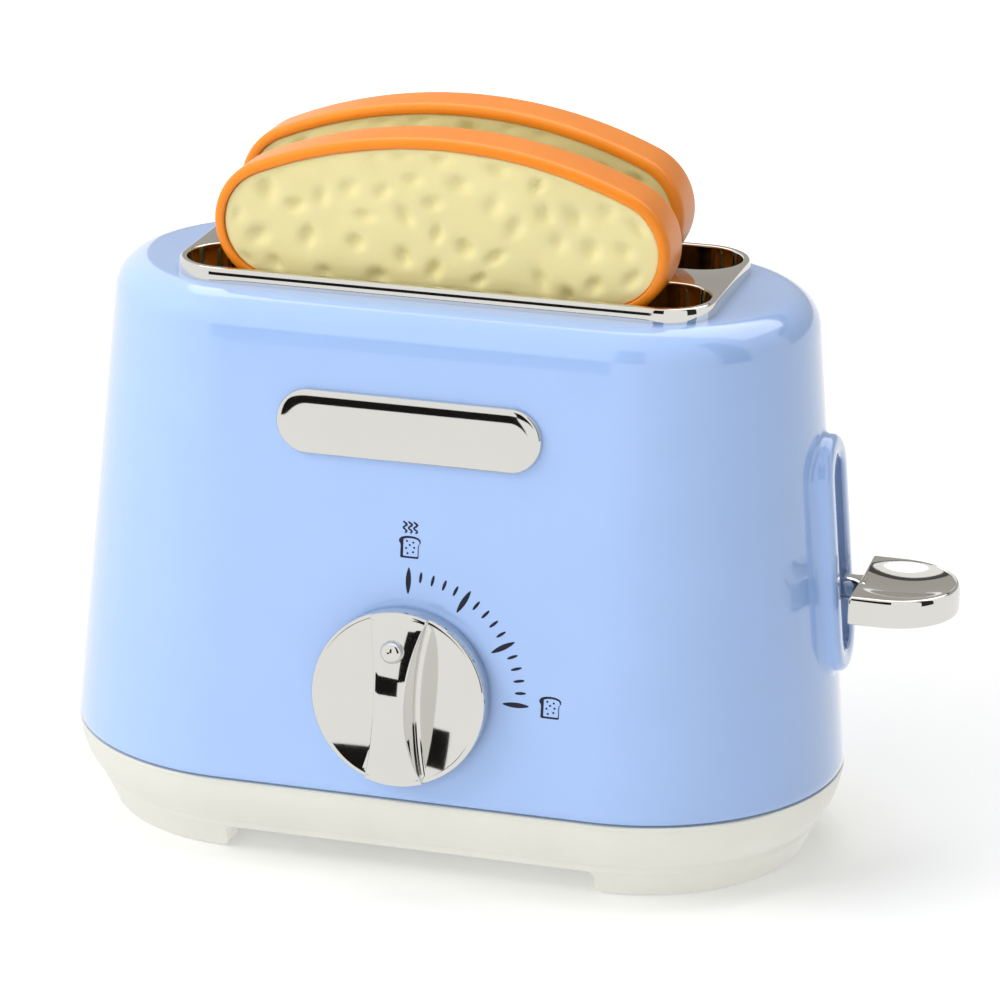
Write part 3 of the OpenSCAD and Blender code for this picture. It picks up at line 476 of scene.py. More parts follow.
def body_shell():
    """The wall inside and out, with a window at the lever end that the raised rim's rings fill."""
    path = stadium_path(ARC_STEPS, SIDE_STEPS)
    top_steps = 30
    window_low, window_high, wall_high = 36, 110, 120
    heights = np.concatenate([[SEAM, SEAM + 0.35], np.linspace(22, window_low, 7),
                              np.linspace(window_low, window_high, 38)[1:],
                              np.linspace(window_high, wall_high, 5)[1:]])
    row_low, row_high = 8, 45
    first, last = 42, 78
    count = len(path[0])
    outer = shell_rows(path, 0, heights, top_steps)
    outer[0, :, :2] -= path[1] * SEAM_TUCK
    outer[0, :, 2] += SEAM_GAP
    outer[1, :, 2] += SEAM_GAP
    inner = shell_rows(path, WALL, heights, top_steps)
    rows = len(outer)

    def window(row, column):
        return row_low <= row < row_high and first <= column < last

    faces = strip(rows, count, skip=window) + strip(rows, count, skip=window, start=rows * count)
    for row in (0, rows - 1):
        for column in range(count):
            after = (column + 1) % count
            a, b = row * count, rows * count + row * count
            faces.append((a + column, a + after, b + after, b + column))

    outer, inner = outer.reshape(-1, 3), inner.reshape(-1, 3)
    border = window_border(count, row_low, row_high, first, last)
    rings = rim_rings(outer[border], inner[border])
    start = 2 * rows * count
    number = len(border)
    chain = [border] + [start + i * number + np.arange(number) for i in range(len(rings))]
    chain.append(border + rows * count)
    for a, b in zip(chain[:-1], chain[1:]):
        for i in range(number):
            j = (i + 1) % number
            faces.append((a[i], a[j], b[j], b[i]))
    return np.concatenate([outer, inner] + rings), faces


make("body_moulding", [body_shell()], BLUE, "housing", ("body_shell",), sharp=50)


# ---------- base ----------

def base_side(z):
    """Radius of the base's bulged side at a height."""
    rise = SEAM - STEP_Z
    side_r = (STEP_INSET ** 2 + rise ** 2) / (2 * STEP_INSET)
    return END_R - side_r + math.sqrt(side_r ** 2 - (SEAM - z) ** 2)


def base_tray():
    """A tray swept round the plan: strip, step, bulged side, seam edge, inner lip and inside."""
    lip_r, lip_wall, lip_rise = 44.3, 1.5, 3.9
    strip_r, strip_round = END_R - STRIP_INSET, 0.5
    step_round = 0.45
    profile = [(0, FOOT_Z), (strip_r * 0.5, FOOT_Z), (strip_r - strip_round, FOOT_Z)]
    profile += [(strip_r - strip_round + strip_round * math.sin(a),
                 FOOT_Z + strip_round - strip_round * math.cos(a)) for a in np.linspace(0.3, math.pi / 2, 4)]
    profile += [(strip_r, STEP_Z - 0.25), (strip_r + 0.1, STEP_Z), (base_side(STEP_Z) - 0.75, STEP_Z)]
    profile += [(base_side(STEP_Z + 0.5) - 0.65 + step_round * math.sin(a),
                 STEP_Z + step_round - step_round * math.cos(a)) for a in np.linspace(0.3, 1.3, 4)]
    profile += [(base_side(z) - 0.2, z) for z in np.linspace(STEP_Z + 0.6, SEAM - 1.5, 16)]
    profile += [(END_R - 0.24, SEAM - 1.15), (END_R - 0.05, SEAM - 1.0), (END_R, SEAM - 0.8),
                (END_R, SEAM - 0.45), (END_R - 0.12, SEAM - 0.18), (END_R - 0.4, SEAM - 0.1)]
    profile += [(lip_r, SEAM - 0.1), (lip_r, SEAM + lip_rise), (lip_r - lip_wall, SEAM + lip_rise),
                (lip_r - 1.6, SEAM - 4)]
    profile += [(base_side(STEP_Z + 3) - 2.6, STEP_Z + 3), (base_side(STEP_Z) - 3.4, STEP_Z + 0.4),
                (strip_r * 0.5, STEP_Z), (0, STEP_Z)]
    base, way = stadium_path(ARC_STEPS, SIDE_STEPS)
    return loft([lift(base + way * r, z) for r, z in profile])


def foot(side):
    """A band under one end, with soft corners where it meets the strip."""
    fillet, fillet_sink, corner, edge, overlap, outset = 2.2, 0.1, 1.8, 0.7, 0.2, 0.3
    length = math.pi * FOOT_R
    marks = np.concatenate([np.linspace(-fillet, 0, 7), np.linspace(0.001, corner, 7),
                            np.linspace(corner, length / 2, 50)[1:]])
    marks = np.concatenate([marks, (length - marks)[::-1][1:]])
    rings = []
    for s in marks:
        t = min(s, length - s)
        if t <= 0:
            low = FOOT_Z + fillet_sink - fillet + math.sqrt(max(fillet ** 2 - (t + fillet) ** 2, 0))
        else:
            low = corner - math.sqrt(max(corner ** 2 - max(corner - t, 0) ** 2, 0))
        angle, beyond = math.radians(-90) + s / FOOT_R, 0.0
        if angle < -math.pi / 2:
            beyond, angle = (-math.pi / 2 - angle) * FOOT_R, -math.pi / 2
        elif angle > math.pi / 2:
            beyond, angle = (angle - math.pi / 2) * FOOT_R, math.pi / 2
        e = min(edge, (FOOT_Z - low) * 0.4)
        flare = FOOT_FLARE / FOOT_Z
        outer = FOOT_R + flare * low
        section = [(FOOT_R - FOOT_BAND, FOOT_Z + overlap), (FOOT_R - FOOT_BAND, low + e),
                   (FOOT_R - FOOT_BAND + e, low)]
        for a in quarter_turn(5):
            section.append((outer - e + e * math.sin(a), low + e - e * math.cos(a)))
        section.append((FOOT_R + flare * FOOT_Z, FOOT_Z + overlap))
        rings.append([(side * (END_X + outset - beyond + r * math.cos(angle)), r * math.sin(angle), z)
                      for r, z in section])
    return loft(rings, cap_start=True, cap_end=True)


make("base_moulding", [base_tray(), foot(1), foot(-1)], SATIN, "housing", ("base_tray",),
     sharp=40)


# ---------- slot trim ----------

def flat_between(z, outer, holes):
    """Fills the flat region inside one ring and outside the others."""
    points, edges = [], []
    for loop in [outer] + holes:
        start = len(points)
        points += [Vector((p[0], p[1])) for p in loop]
        edges += [(start + i, start + (i + 1) % len(loop)) for i in range(len(loop))]
    made, _, triangles, *_ = delaunay_2d_cdt(points, edges, [], 1, 1e-6)
    flat = np.array([[p.x, p.y, z] for p in made])
    slot_gap = [(loop[:, 1].mean(), (loop[:, 1].max() - loop[:, 1].min()) / 2) for loop in holes]
    kept = []
    for triangle in triangles:
        centre = flat[list(triangle)].mean(axis=0)
        inside = False
        for middle_y, radius in slot_gap:
            x = max(abs(centre[0]) - (SLOT_HALF - SLOT_R), 0)
            inside = inside or math.hypot(x, centre[1] - middle_y) < radius - 1e-3
        if not inside:
            kept.append(tuple(triangle))
    return flat, kept


def slot_trim():
    """The outer skirt, whose foot follows the shell's rounded top, and the two slots' collars."""
    outline = rounded_box_path(TRIM_X, TRIM_Y, TRIM_CORNER, 24, 60, 20)
    slot = stadium_path(40, 60, SLOT_HALF - SLOT_R)
    edge, slot_round, under = steep_edge(0.55, 1.25), 0.4, TRIM_TOP - TRIM_SKIN
    rim = ring(outline, TRIM_CORNER, 0)
    inward = np.hypot(np.maximum(np.abs(rim[:, 0]) - END_X, 0), rim[:, 1])
    fall = np.sqrt(np.maximum(TOP_ROUND ** 2 - np.maximum(inward - ROUND_R, 0) ** 2, 0))
    body_z = ROUND_Z + fall
    rows = [ring(outline, TRIM_CORNER - TRIM_SKIN, under),
            ring(outline, TRIM_CORNER - TRIM_SKIN, body_z - TRIM_SINK),
            ring(outline, TRIM_CORNER, body_z - TRIM_SINK), ring(outline, TRIM_CORNER, TRIM_TOP - 2.1)]
    rows += [ring(outline, TRIM_CORNER - inward, TRIM_TOP - down) for inward, down in edge[::-1]]
    parts = [loft(rows)]
    tops, unders = [], []
    for side in (-1, 1):
        shifted = (slot[0] + np.array([0, side * SLOT_Y]), slot[1])
        rows = [ring(shifted, SLOT_R + slot_round * (1 - math.sin(a)),
                     TRIM_TOP - slot_round * (1 - math.cos(a)))
                for a in quarter_turn(6)]
        rows += [ring(shifted, SLOT_R, z) for z in np.linspace(TRIM_TOP - 2, COLLAR_LOW + 0.3, 6)]
        rows += [ring(shifted, SLOT_R + 0.3, COLLAR_LOW), ring(shifted, SLOT_R + 0.7, COLLAR_LOW),
                 ring(shifted, SLOT_R + COLLAR_WALL, COLLAR_LOW + 0.3),
                 ring(shifted, SLOT_R + COLLAR_WALL, under)]
        parts.append(loft(rows))
        tops.append(rows[0])
        unders.append(rows[-1])
    parts.append(flat_between(TRIM_TOP, ring(outline, TRIM_CORNER - edge[0][0], TRIM_TOP), tops))
    parts.append(flat_between(under, ring(outline, TRIM_CORNER - TRIM_SKIN, under), unders))
    return parts


make("slot_surround", slot_trim(), CHROME, "housing", ("slot_trim",), sharp=50)


# ---------- name plate ----------

def name_plate():
    """A bare bar whose face falls away gently towards a rounded edge."""
    path = stadium_path(48, 60, PLATE_HALF - PLATE_R)
    swell, edge, sunk = 3.4, 0.8, -0.3
    swell_fall, swell_power, edge_fall = 0.4, 2.2, 0.95
    rows = [ring(path, 0, sunk), ring(path, PLATE_R, sunk)]
    marks = [edge * (1 - math.cos(a)) for a in quarter_turn(12)]
    for s in marks + list(np.linspace(edge, swell, 14)[1:]):
        u = max(1 - s / edge, 0)
        fall = swell_fall * (1 - s / swell) ** swell_power + edge_fall * (1 - math.sqrt(1 - u * u))
        rows.append(ring(path, PLATE_R - s, PLATE_PROUD - fall))
    rows += [ring(path, PLATE_R * 0.3, PLATE_PROUD), ring(path, 0, PLATE_PROUD)]
    points, faces = loft(rows)
    return on_front(points, PLATE_Z, PLATE_X), faces


make("name_plate_bare", [name_plate()], CHROME, "housing", ("name_plate",), sharp=60)


# ---------- printed dial marks ----------

def prism(outline):
    """A printed mark: an outline that stands just proud of the wall."""
    outline = np.asarray(outline, float)
    return loft([lift(outline, z) for z in (PRINT_LOW, PRINT_HIGH)], cap_start=True, cap_end=True)


def spindle(angle, r_low, r_high, width, power):
    """A scale mark that is pointed at both ends, on a ray from the knob's middle."""
    way = np.array([math.cos(angle), math.sin(angle)])
    across = np.array([-way[1], way[0]])
    steps = np.linspace(0.02, 0.98, 15)
    half = width / 2 * np.sin(np.pi * steps) ** power
    middle = (r_low + (r_high - r_low) * steps)[:, None] * way
    return np.concatenate([middle + half[:, None] * across, (middle - half[:, None] * across)[::-1]])


def band(points, width):
    """A closed outline of constant width along an open line of points."""
    points = np.asarray(points, float)
    way = np.gradient(points, axis=0)
    way /= np.linalg.norm(way, axis=1)[:, None]
    across = np.column_stack([-way[:, 1], way[:, 0]]) * width / 2
    return np.concatenate([points + across, (points - across)[::-1]])


def toast_outline(scale):
    """A plain bread shape: square foot, drawn-in sides and a domed top."""
    right = [(2.05, -2.7), (2.35, -2.5), (2.35, -1.2), (2.3, 0.2), (2.45, 0.9), (2.8, 1.35), (2.75, 2.0),
             (2.2, 2.55), (1.2, 2.85), (0, 2.95)]
    left = [(-x, y) for x, y in right[::-1][1:]]
    return np.array(right + left) * scale


def pictogram(x, y, steam):
    """A small sign of a slice of bread, with three wavy lines of steam over it where asked."""
    parts, size, dot_r, line_width = [], 0.89, 0.27, 0.44
    outer, inner = toast_outline(1.0), toast_outline(0.82)
    inner[:, 0] = np.maximum(inner[:, 0] + 0.2, -1.65)
    rings = [outer, outer, inner, inner]
    levels = [PRINT_LOW, PRINT_HIGH, PRINT_HIGH, PRINT_LOW]
    rows = [lift(r, z) for r, z in zip(rings, levels)]
    rows.append(rows[0])
    parts.append(loft(rows))
    turns = np.linspace(0, 2 * math.pi, 13)[:-1]
    for dx, dy in ((-0.75, 1.6), (0.9, 1.35), (0.0, 0.65), (-0.9, -0.2), (1.15, 0.05), (0.9, -1.1),
                   (-0.5, -1.5)):
        parts.append(prism([(dx + dot_r * math.cos(a), dy + dot_r * math.sin(a)) for a in turns]))
    if steam:
        for k in (-1, 0, 1):
            t = np.linspace(0, 1, 25)
            line = np.column_stack([1.35 * k + 0.45 * np.sin(t * 2 * math.pi * 1.75), 3.7 + 2.9 * t])
            parts.append(prism(band(line, line_width)))
    return [(p * np.array([size, size, 1]) + np.array([x, y, 0]), f) for p, f in parts]


def dial_marks():
    """A quarter turn of scale marks, every fifth one larger, with a sign at each end."""
    parts = []
    marks, step, large_every = 16, 6, 5
    for tick in range(marks):
        angle = math.radians(90 - step * tick)
        if tick % large_every == 0:
            parts.append(prism(spindle(angle, 22.4, 28.6, 1.2, 0.7)))
        else:
            parts.append(prism(spindle(angle, 25.3, 27.9, 0.66, 0.45)))
    parts += pictogram(0.0, 33.0, True)
    parts += pictogram(33.3, 0.2, False)
    return [(on_front(points, DIAL_Z), faces) for points, faces in parts]


make("dial_print", dial_marks(), INK, "housing", (), sharp=30)


# ---------- knob ----------

KNOB_RISE = KNOB_HEIGHT - KNOB_RIM
KNOB_DIP = KNOB_RIM - KNOB_LOW
DOME_R = (KNOB_R ** 2 + KNOB_RISE ** 2) / (2 * KNOB_RISE)
DISH_R = (KNOB_R ** 2 + KNOB_DIP ** 2) / (2 * KNOB_DIP)
RIM_ROUND = 1.1
FLAT_R = KNOB_R - RIM_ROUND
# Points along one row of the knob's face: across the dish, its foot, the blade's wall and its edge.
DISH_STEPS, FOOT_STEPS, WALL_STEPS, EDGE_STEPS = 26, 6, 3, 6


def crest(x, y):
    """The domed top of the grip blade."""
    return KNOB_HEIGHT - DOME_R + np.sqrt(DOME_R ** 2 - x ** 2 - y ** 2)


def dish(x, y):
    """The hollow each side of the blade."""
    return KNOB_LOW + DISH_R - np.sqrt(DISH_R ** 2 - x ** 2 - y ** 2)


def blade_half(y):
    """The blade's half width, least at its waist."""
    waist, scoop_r = 3.5, 56.5
    return waist + scoop_r - math.sqrt(scoop_r ** 2 - y ** 2)


def knob_row(y):
    """Points across the knob's face at one place along the blade."""
    top_round, foot_round, most = 0.45, 1.3, 0.45
    edge = blade_half(y)
    reach = math.sqrt(max(FLAT_R ** 2 - y ** 2, edge ** 2))
    foot = min(foot_round, most * (reach - edge))
    half = [(x, dish(x, y)) for x in np.linspace(reach, edge + foot, DISH_STEPS)]
    for a in quarter_turn(FOOT_STEPS + 1)[1:]:
        x = edge + foot * (1 - math.sin(a))
        half.append((x, dish(x, y) + foot * (1 - math.cos(a))))
    wall_low = half[-1][1]
    round_off = min(top_round, most * (crest(edge, y) - wall_low))
    wall_high = crest(edge, y) - round_off
    half += [(edge, wall_low + (wall_high - wall_low) * k / (WALL_STEPS + 1))
             for k in range(1, WALL_STEPS + 1)]
    half += [(edge - round_off * (1 - math.cos(a)), wall_high + round_off * math.sin(a))
             for a in quarter_turn(EDGE_STEPS)]
    half += [(x, crest(x, y)) for x in np.linspace(edge - round_off, 0, 9)[1:]]
    return [(x, y, float(z)) for x, z in half] + [(-x, y, float(z)) for x, z in half[::-1][1:]]


def knob_body():
    """The face as rows from end to end of the blade, the blade's two ends, and the rim and back."""
    end_y = FLAT_R
    for _ in range(60):
        end_y = math.sqrt(FLAT_R ** 2 - blade_half(end_y) ** 2)
    row_count = 97
    rows = np.array([knob_row(end_y * math.sin(math.pi / 2 * (2 * j / (row_count - 1) - 1)))
                     for j in range(row_count)])
    parts = [loft(rows, closed=False)]
    columns = rows.shape[1]
    top_index = DISH_STEPS + FOOT_STEPS + WALL_STEPS + EDGE_STEPS - 1
    caps = []
    for end in (-1, 1):
        row = rows[-1 if end > 0 else 0][top_index:columns - top_index]
        arc_y = end * np.sqrt(np.maximum(FLAT_R ** 2 - row[:, 0] ** 2, end_y ** 2))
        steps = []
        for t in [k / 6 for k in range(7)]:
            y = row[:, 1] * (1 - t) + arc_y * t
            steps.append(np.column_stack([row[:, 0], y, crest(row[:, 0], y)]))
        caps.append(steps[-1])
        parts.append(loft(steps, closed=False))
    border = np.concatenate([rows[:, 0], rows[-1][1:top_index], caps[1], rows[-1][columns - top_index:],
                             rows[::-1][1:, -1], rows[0][::-1][1:top_index], caps[0][::-1],
                             rows[0][::-1][columns - top_index:-1]])
    unit = border[:, :2] / np.linalg.norm(border[:, :2], axis=1)[:, None]
    rings = [border]
    for a in quarter_turn(8)[1:]:
        xy = unit * (FLAT_R + RIM_ROUND * math.sin(a))
        rings.append(np.column_stack([xy, border[:, 2] - RIM_ROUND * (1 - math.cos(a))]))
    for z in (3.0, 0.5):
        rings.append(np.column_stack([unit * KNOB_R, np.minimum(rings[-1][:, 2], z)]))
    for radius in (KNOB_R - 0.5, 8, 0):
        rings.append(np.column_stack([unit * radius, np.zeros(len(border))]))
    parts.append(loft(rings))
    return parts


def ball(centre, radius, rings=24, segments=40):
    """A sphere as a loft from pole to pole."""
    rows = []
    turns = np.linspace(0, 2 * math.pi, segments + 1)[:-1]
    for i in range(rings + 1):
        a = math.pi * i / rings
        rows.append([(centre[0] + radius * math.sin(a) * math.cos(b),
                      centre[1] + radius * math.sin(a) * math.sin(b),
                      centre[2] + radius * math.cos(a)) for b in turns])
    return loft(rows)


def knob():
    """The knob with its pointer bead, set on the leaning wall."""
    parts = knob_body() + [ball((0, BEAD_OUT, KNOB_HEIGHT - BEAD_SINK), BEAD_R)]
    return [(on_front(np.asarray(p) + np.array([0, 0, KNOB_GAP]), DIAL_Z), f) for p, f in parts]


make("timer_knob_bright", knob(), CHROME, "timer_knob", ("knob",), sharp=48)


# ---------- lever handle ----------

def handle():
    """A paddle with a round tip and a square back, dished on top for a finger."""
    centre = np.array([HANDLE_TIP - HANDLE_R, 0.0])
    before_corner, after_corner = 1.95, 2.15
    half = np.concatenate([np.linspace(0, before_corner, 70),
                           np.linspace(before_corner, after_corner, 24)[1:],
                           np.linspace(after_corner, math.pi, 24)[1:]])
    angles = np.concatenate([half, -half[::-1][1:-1]])
    way = np.column_stack([np.cos(angles), np.sin(angles)])
    side = HANDLE_R / np.maximum(np.abs(way[:, 1]), 1e-6)
    back = (centre[0] - HANDLE_BACK) / np.maximum(-way[:, 0], 1e-6)
    squareness = 60
    square = (side ** -squareness + back ** -squareness) ** (-1 / squareness)
    reach = np.where(way[:, 0] < 0, square, HANDLE_R)
    top = HANDLE_Z + HANDLE_THICK
    edge, under = steep_edge(0.7, 1.5), 0.8
    rings = []
    dish, dish_half, dish_depth, dish_power = np.array([102.2, 0.8]), 12.6, 1.8, 1.25

    def row(scaled, z):
        return lift(centre + way * scaled[:, None], z)

    def top_z(points):
        d = np.hypot(points[:, 0] - dish[0], points[:, 1] - dish[1])
        return top - dish_depth * np.maximum(1 - (d / dish_half) ** 2, 0) ** dish_power

    for u in np.linspace(0, 1, 30):
        xy = centre + way * (reach - edge[0][0])[:, None] * u
        rings.append(np.column_stack([xy, top_z(xy)]))
    for inward, down in edge[1:]:
        rings.append(row(reach - inward, top - down))
    for z in np.linspace(top - edge[-1][1] - 0.4, HANDLE_Z + under, 4):
        rings.append(row(reach, z))
    for a in quarter_turn(5)[1:]:
        rings.append(row(reach - under * (1 - math.cos(a)), HANDLE_Z + under - under * math.sin(a)))
    rings.append(row(reach * 0.5, HANDLE_Z))
    rings.append(row(reach * 0.0, HANDLE_Z))
    return loft(rings)


def neck():
    """A wedge from the lever slot to the paddle, as sections of x, half width, foot and top."""
    sections = ((87.7, 2.9, 61.9, 67.3), (90.9, 3.0, 61.9, 67.2), (92.0, 3.5, 61.8, 67.1),
                (92.9, 4.6, 61.7, 67.0), (94.2, 5.6, 61.6, 66.9))
    rings, roundness = [], 3
    for x, half_y, low, high in sections:
        middle, half_z = (low + high) / 2, (high - low) / 2
        section = []
        for a in np.linspace(0, 2 * math.pi, 41)[:-1]:
            c, s = math.cos(a), math.sin(a)
            k = (abs(c) ** roundness + abs(s) ** roundness) ** (-1 / roundness)
            section.append((x, half_y * c * k, middle + half_z * s * k))
        rings.append(section)
    return loft(rings, cap_start=True, cap_end=True)


make("lever_paddle", [handle(), neck()], CHROME, "carriage", ("lever_handle",), sharp=50)


# ---------- toast ----------

SHOULDER_R, SHOULDER_DROP, NECK_R, SIDE_INSET, FOOT_ROUND = 14.5, 22.3, 8.0, 16.5, 6.0
SHOULDER_X = SLICE_WIDTH / 2 - SHOULDER_R
TOP_ARC = (SHOULDER_X ** 2 + SHOULDER_DROP ** 2 - SHOULDER_R ** 2) / (2 * (SHOULDER_DROP - SHOULDER_R))


def slice_outline(inset):
    """Closed outline of a slice as (sideways, up) points, moved inwards by the inset."""
    fine = 3
    shoulder = (SHOULDER_X, SLICE_HEIGHT - SHOULDER_DROP)
    side_x = SLICE_WIDTH / 2 - SIDE_INSET
    neck_x = side_x + NECK_R
    neck_y = shoulder[1] - math.sqrt((SHOULDER_R + NECK_R) ** 2 - (neck_x - shoulder[0]) ** 2)
    neck_turn = math.atan2(shoulder[1] - neck_y, shoulder[0] - neck_x)
    top_turn = math.atan2(shoulder[1] - SLICE_HEIGHT + TOP_ARC, shoulder[0])
    half = [(x, inset) for x in np.linspace(0, side_x - FOOT_ROUND, 10 * fine)[:-1]]

    def arc(cx, cy, radius, start, end, steps):
        for i in range(steps + 1):
            a = start + (end - start) * i / steps
            half.append((cx + radius * math.cos(a), cy + radius * math.sin(a)))

    arc(side_x - FOOT_ROUND, FOOT_ROUND, FOOT_ROUND - inset, -math.pi / 2, 0, 5 * fine)
    half.extend((side_x - inset, y) for y in np.linspace(FOOT_ROUND, neck_y, 10 * fine)[1:-1])
    arc(neck_x, neck_y, NECK_R + inset, math.pi, neck_turn, 3 * fine)
    arc(shoulder[0], shoulder[1], SHOULDER_R - inset, neck_turn - math.pi, top_turn, 9 * fine)
    for i in range(1, 12 * fine + 1):
        a = top_turn + (math.pi / 2 - top_turn) * i / (12 * fine)
        half.append(((TOP_ARC - inset) * math.cos(a),
                     SLICE_HEIGHT - TOP_ARC + (TOP_ARC - inset) * math.sin(a)))
    half = np.array(half)
    half[-1, 0] = 0
    left = half[::-1][1:-1] * np.array([-1, 1])
    return np.concatenate([half, left])


def in_slot(points, x, y):
    """Stands (sideways, up, towards the front) points upright on the carriage."""
    p = np.asarray(points, float).reshape(-1, 3)
    return np.column_stack([p[:, 0] + x, y - p[:, 2], p[:, 1] + SHELF_Z])


def crust():
    """A frame round the slice: a rounded outer edge, a flat face and a step down to the crumb."""
    half, edge, edge_in = SLICE_THICK / 2, 1.9, 1.55
    face = [(0.0, half - edge)]
    for a in quarter_turn(9)[1:]:
        face.append(((1 - math.cos(a)) * edge_in, half - edge * (1 - math.sin(a))))
    face += [(CRUST_WALL - 0.35, half), (CRUST_WALL - 0.1, half - 0.1), (CRUST_WALL, half - 0.35),
             (CRUST_WALL, half - 1.2)]
    loop = face + [(i, -d) for i, d in face[::-1]]
    rows = []
    for inset, depth in loop + [loop[0]]:
        outline = slice_outline(inset)
        rows.append(lift(outline, depth))
    return loft(rows)


def pits(seed, number=150, apart=6.4):
    """Scattered dimples that keep apart, as x, y, depth, half width, turn and ratio of sides."""
    random = np.random.default_rng(seed)
    found, tries = [], 6000
    for _ in range(tries):
        p = random.uniform((-47, 3), (47, 87))
        if all(math.hypot(p[0] - q[0], p[1] - q[1]) > apart for q in found):
            found.append((p[0], p[1], random.uniform(1.0, 1.9), random.uniform(0.95, 1.4),
                          random.uniform(0, math.pi), random.uniform(0.75, 1.3)))
        if len(found) == number:
            break
    return found


def crumb(side, seed):
    """One dimpled face: side 1 looks to the front of the slice, -1 to its back."""
    face = SLICE_THICK / 2 - CRUMB_RECESS + 0.35
    outline = slice_outline(CRUST_WALL + 0.02)
    groove = slice_outline(CRUST_WALL + 0.5)
    centre = np.array([0, 57.0])
    rows = [lift(line, side * (face - down))
            for line, down in ((outline, 2.3), (outline, 0.9), (groove * 0.5 + outline * 0.5, 0.45))]
    dents = pits(seed)
    steps = np.concatenate([np.linspace(1, 0.94, 6), np.linspace(0.94, 0.06, 62)[1:], [0.0]])
    for u in steps:
        xy = centre + (groove - centre) * u
        depth = np.full(len(xy), face - 0.25 * u ** 6)
        depth += 0.10 * np.sin(xy[:, 0] * 0.23 + seed) * np.sin(xy[:, 1] * 0.29 + 1.7 * seed)
        depth += 0.06 * np.sin(xy[:, 0] * 0.61 + 2.1 * seed) * np.sin(xy[:, 1] * 0.53 + 0.6 * seed)
        fade = min(1.0, (1 - u) / 0.05)
        sunk = np.zeros(len(xy))
        for px, py, deep, size, turn, ratio in dents:
            dx, dy = xy[:, 0] - px, xy[:, 1] - py
            a = (dx * math.cos(turn) + dy * math.sin(turn)) / ratio
            b = (-dx * math.sin(turn) + dy * math.cos(turn)) * ratio
            sunk = np.maximum(sunk, deep * np.exp(-(a * a + b * b) / (2 * size * size)))
        depth -= sunk * fade + (1 - fade) * 0.12
        rows.append(np.column_stack([xy, side * depth]))
    return loft(rows, cap_start=True)


for place, x, y, outward, first_seed in (("front", 0.0, -SLOT_Y, 1, 0),
                                         ("rear", REAR_SLICE_X, SLOT_Y, -1, 20)):
    body = place + "_slice"
    points, faces = crust()
    make(place + "_crust_moulding", [(in_slot(points, x, y), faces)], CRUST, body, (place + "_crust",),
         sharp=50)
    for name, side, seed in (("outer", outward, 3), ("inner", -outward, 8)):
        points, faces = crumb(side, first_seed + seed)
        make(place + "_crumb_" + name + "_face", [(in_slot(points, x, y), faces)], CRUMB, body,
             (place + "_crumb_" + name,), sharp=60)


# ---------- stage, light and camera ----------

def emitter(name, centre, size, target, colour, strength):
    """A soft rectangular lamp that neither the camera nor a mirror sees."""
    light = bpy.data.lights.new(name, "AREA")
    light.shape = "RECTANGLE"
    light.size, light.size_y = size
    light.energy = strength
    light.color = colour
    lamp = bpy.data.objects.new(name, light)
    bpy.context.scene.collection.objects.link(lamp)
    lamp.location = centre
    lamp.rotation_mode = "QUATERNION"
    lamp.rotation_quaternion = (Vector(target) - Vector(centre)).to_track_quat("-Z", "Y")
    lamp.visible_camera = lamp.visible_glossy = False


def by_ray(tree, rays, met, other):
    """Mixes two shaders: the first for the named kinds of ray, the second for all the rest."""
    nodes, links = tree.nodes, tree.links
    path = nodes.new("ShaderNodeLightPath")
    share = path.outputs[rays[0]]
    for ray in rays[1:]:
        larger = nodes.new("ShaderNodeMath")
        larger.operation = "MAXIMUM"
        links.new(share, larger.inputs[0])
        links.new(path.outputs[ray], larger.inputs[1])
        share = larger.outputs[0]
    mix = nodes.new("ShaderNodeMixShader")
    links.new(share, mix.inputs["Fac"])
    links.new(other, mix.inputs[1])
    links.new(met, mix.inputs[2])
    return mix.outputs[0]


def bare_look(name):
    """A material with no shader in it yet."""
    look = bpy.data.materials.new(name)
    look.use_nodes = True
    look.node_tree.nodes.remove(look.node_tree.nodes["Principled BSDF"])
    return look, look.node_tree


def shader_of(tree, kind, colour, strength=None):
    """A new shader node of a plain colour."""
    node = tree.nodes.new(kind)
    node.inputs["Color"].default_value = colour
    if strength is not None:
        node.inputs["Strength"].default_value = strength
    return node


CAMERA_RAY = ("Is Camera Ray",)
MIRRORED = ("Is Glossy Ray", "Is Transmission Ray")
WHITE_LIGHT = (1, 1, 1, 1)


def studio_world():
    """A soft warm light all round, which the camera and mirrors see as plain white."""
    world = bpy.data.worlds.new("studio")
    bpy.context.scene.world = world
    world.use_nodes = True
    tree = world.node_tree
    lit = tree.nodes["Background"]
    lit.inputs["Color"].default_value = (1.0, 0.99, 0.97, 1)
    lit.inputs["Strength"].default_value = 0.47
    seen = shader_of(tree, "ShaderNodeBackground", WHITE_LIGHT, 1.0)
    sky = by_ray(tree, CAMERA_RAY + MIRRORED, seen.outputs[0], lit.outputs[0])
    tree.links.new(sky, tree.nodes["World Output"].inputs["Surface"])


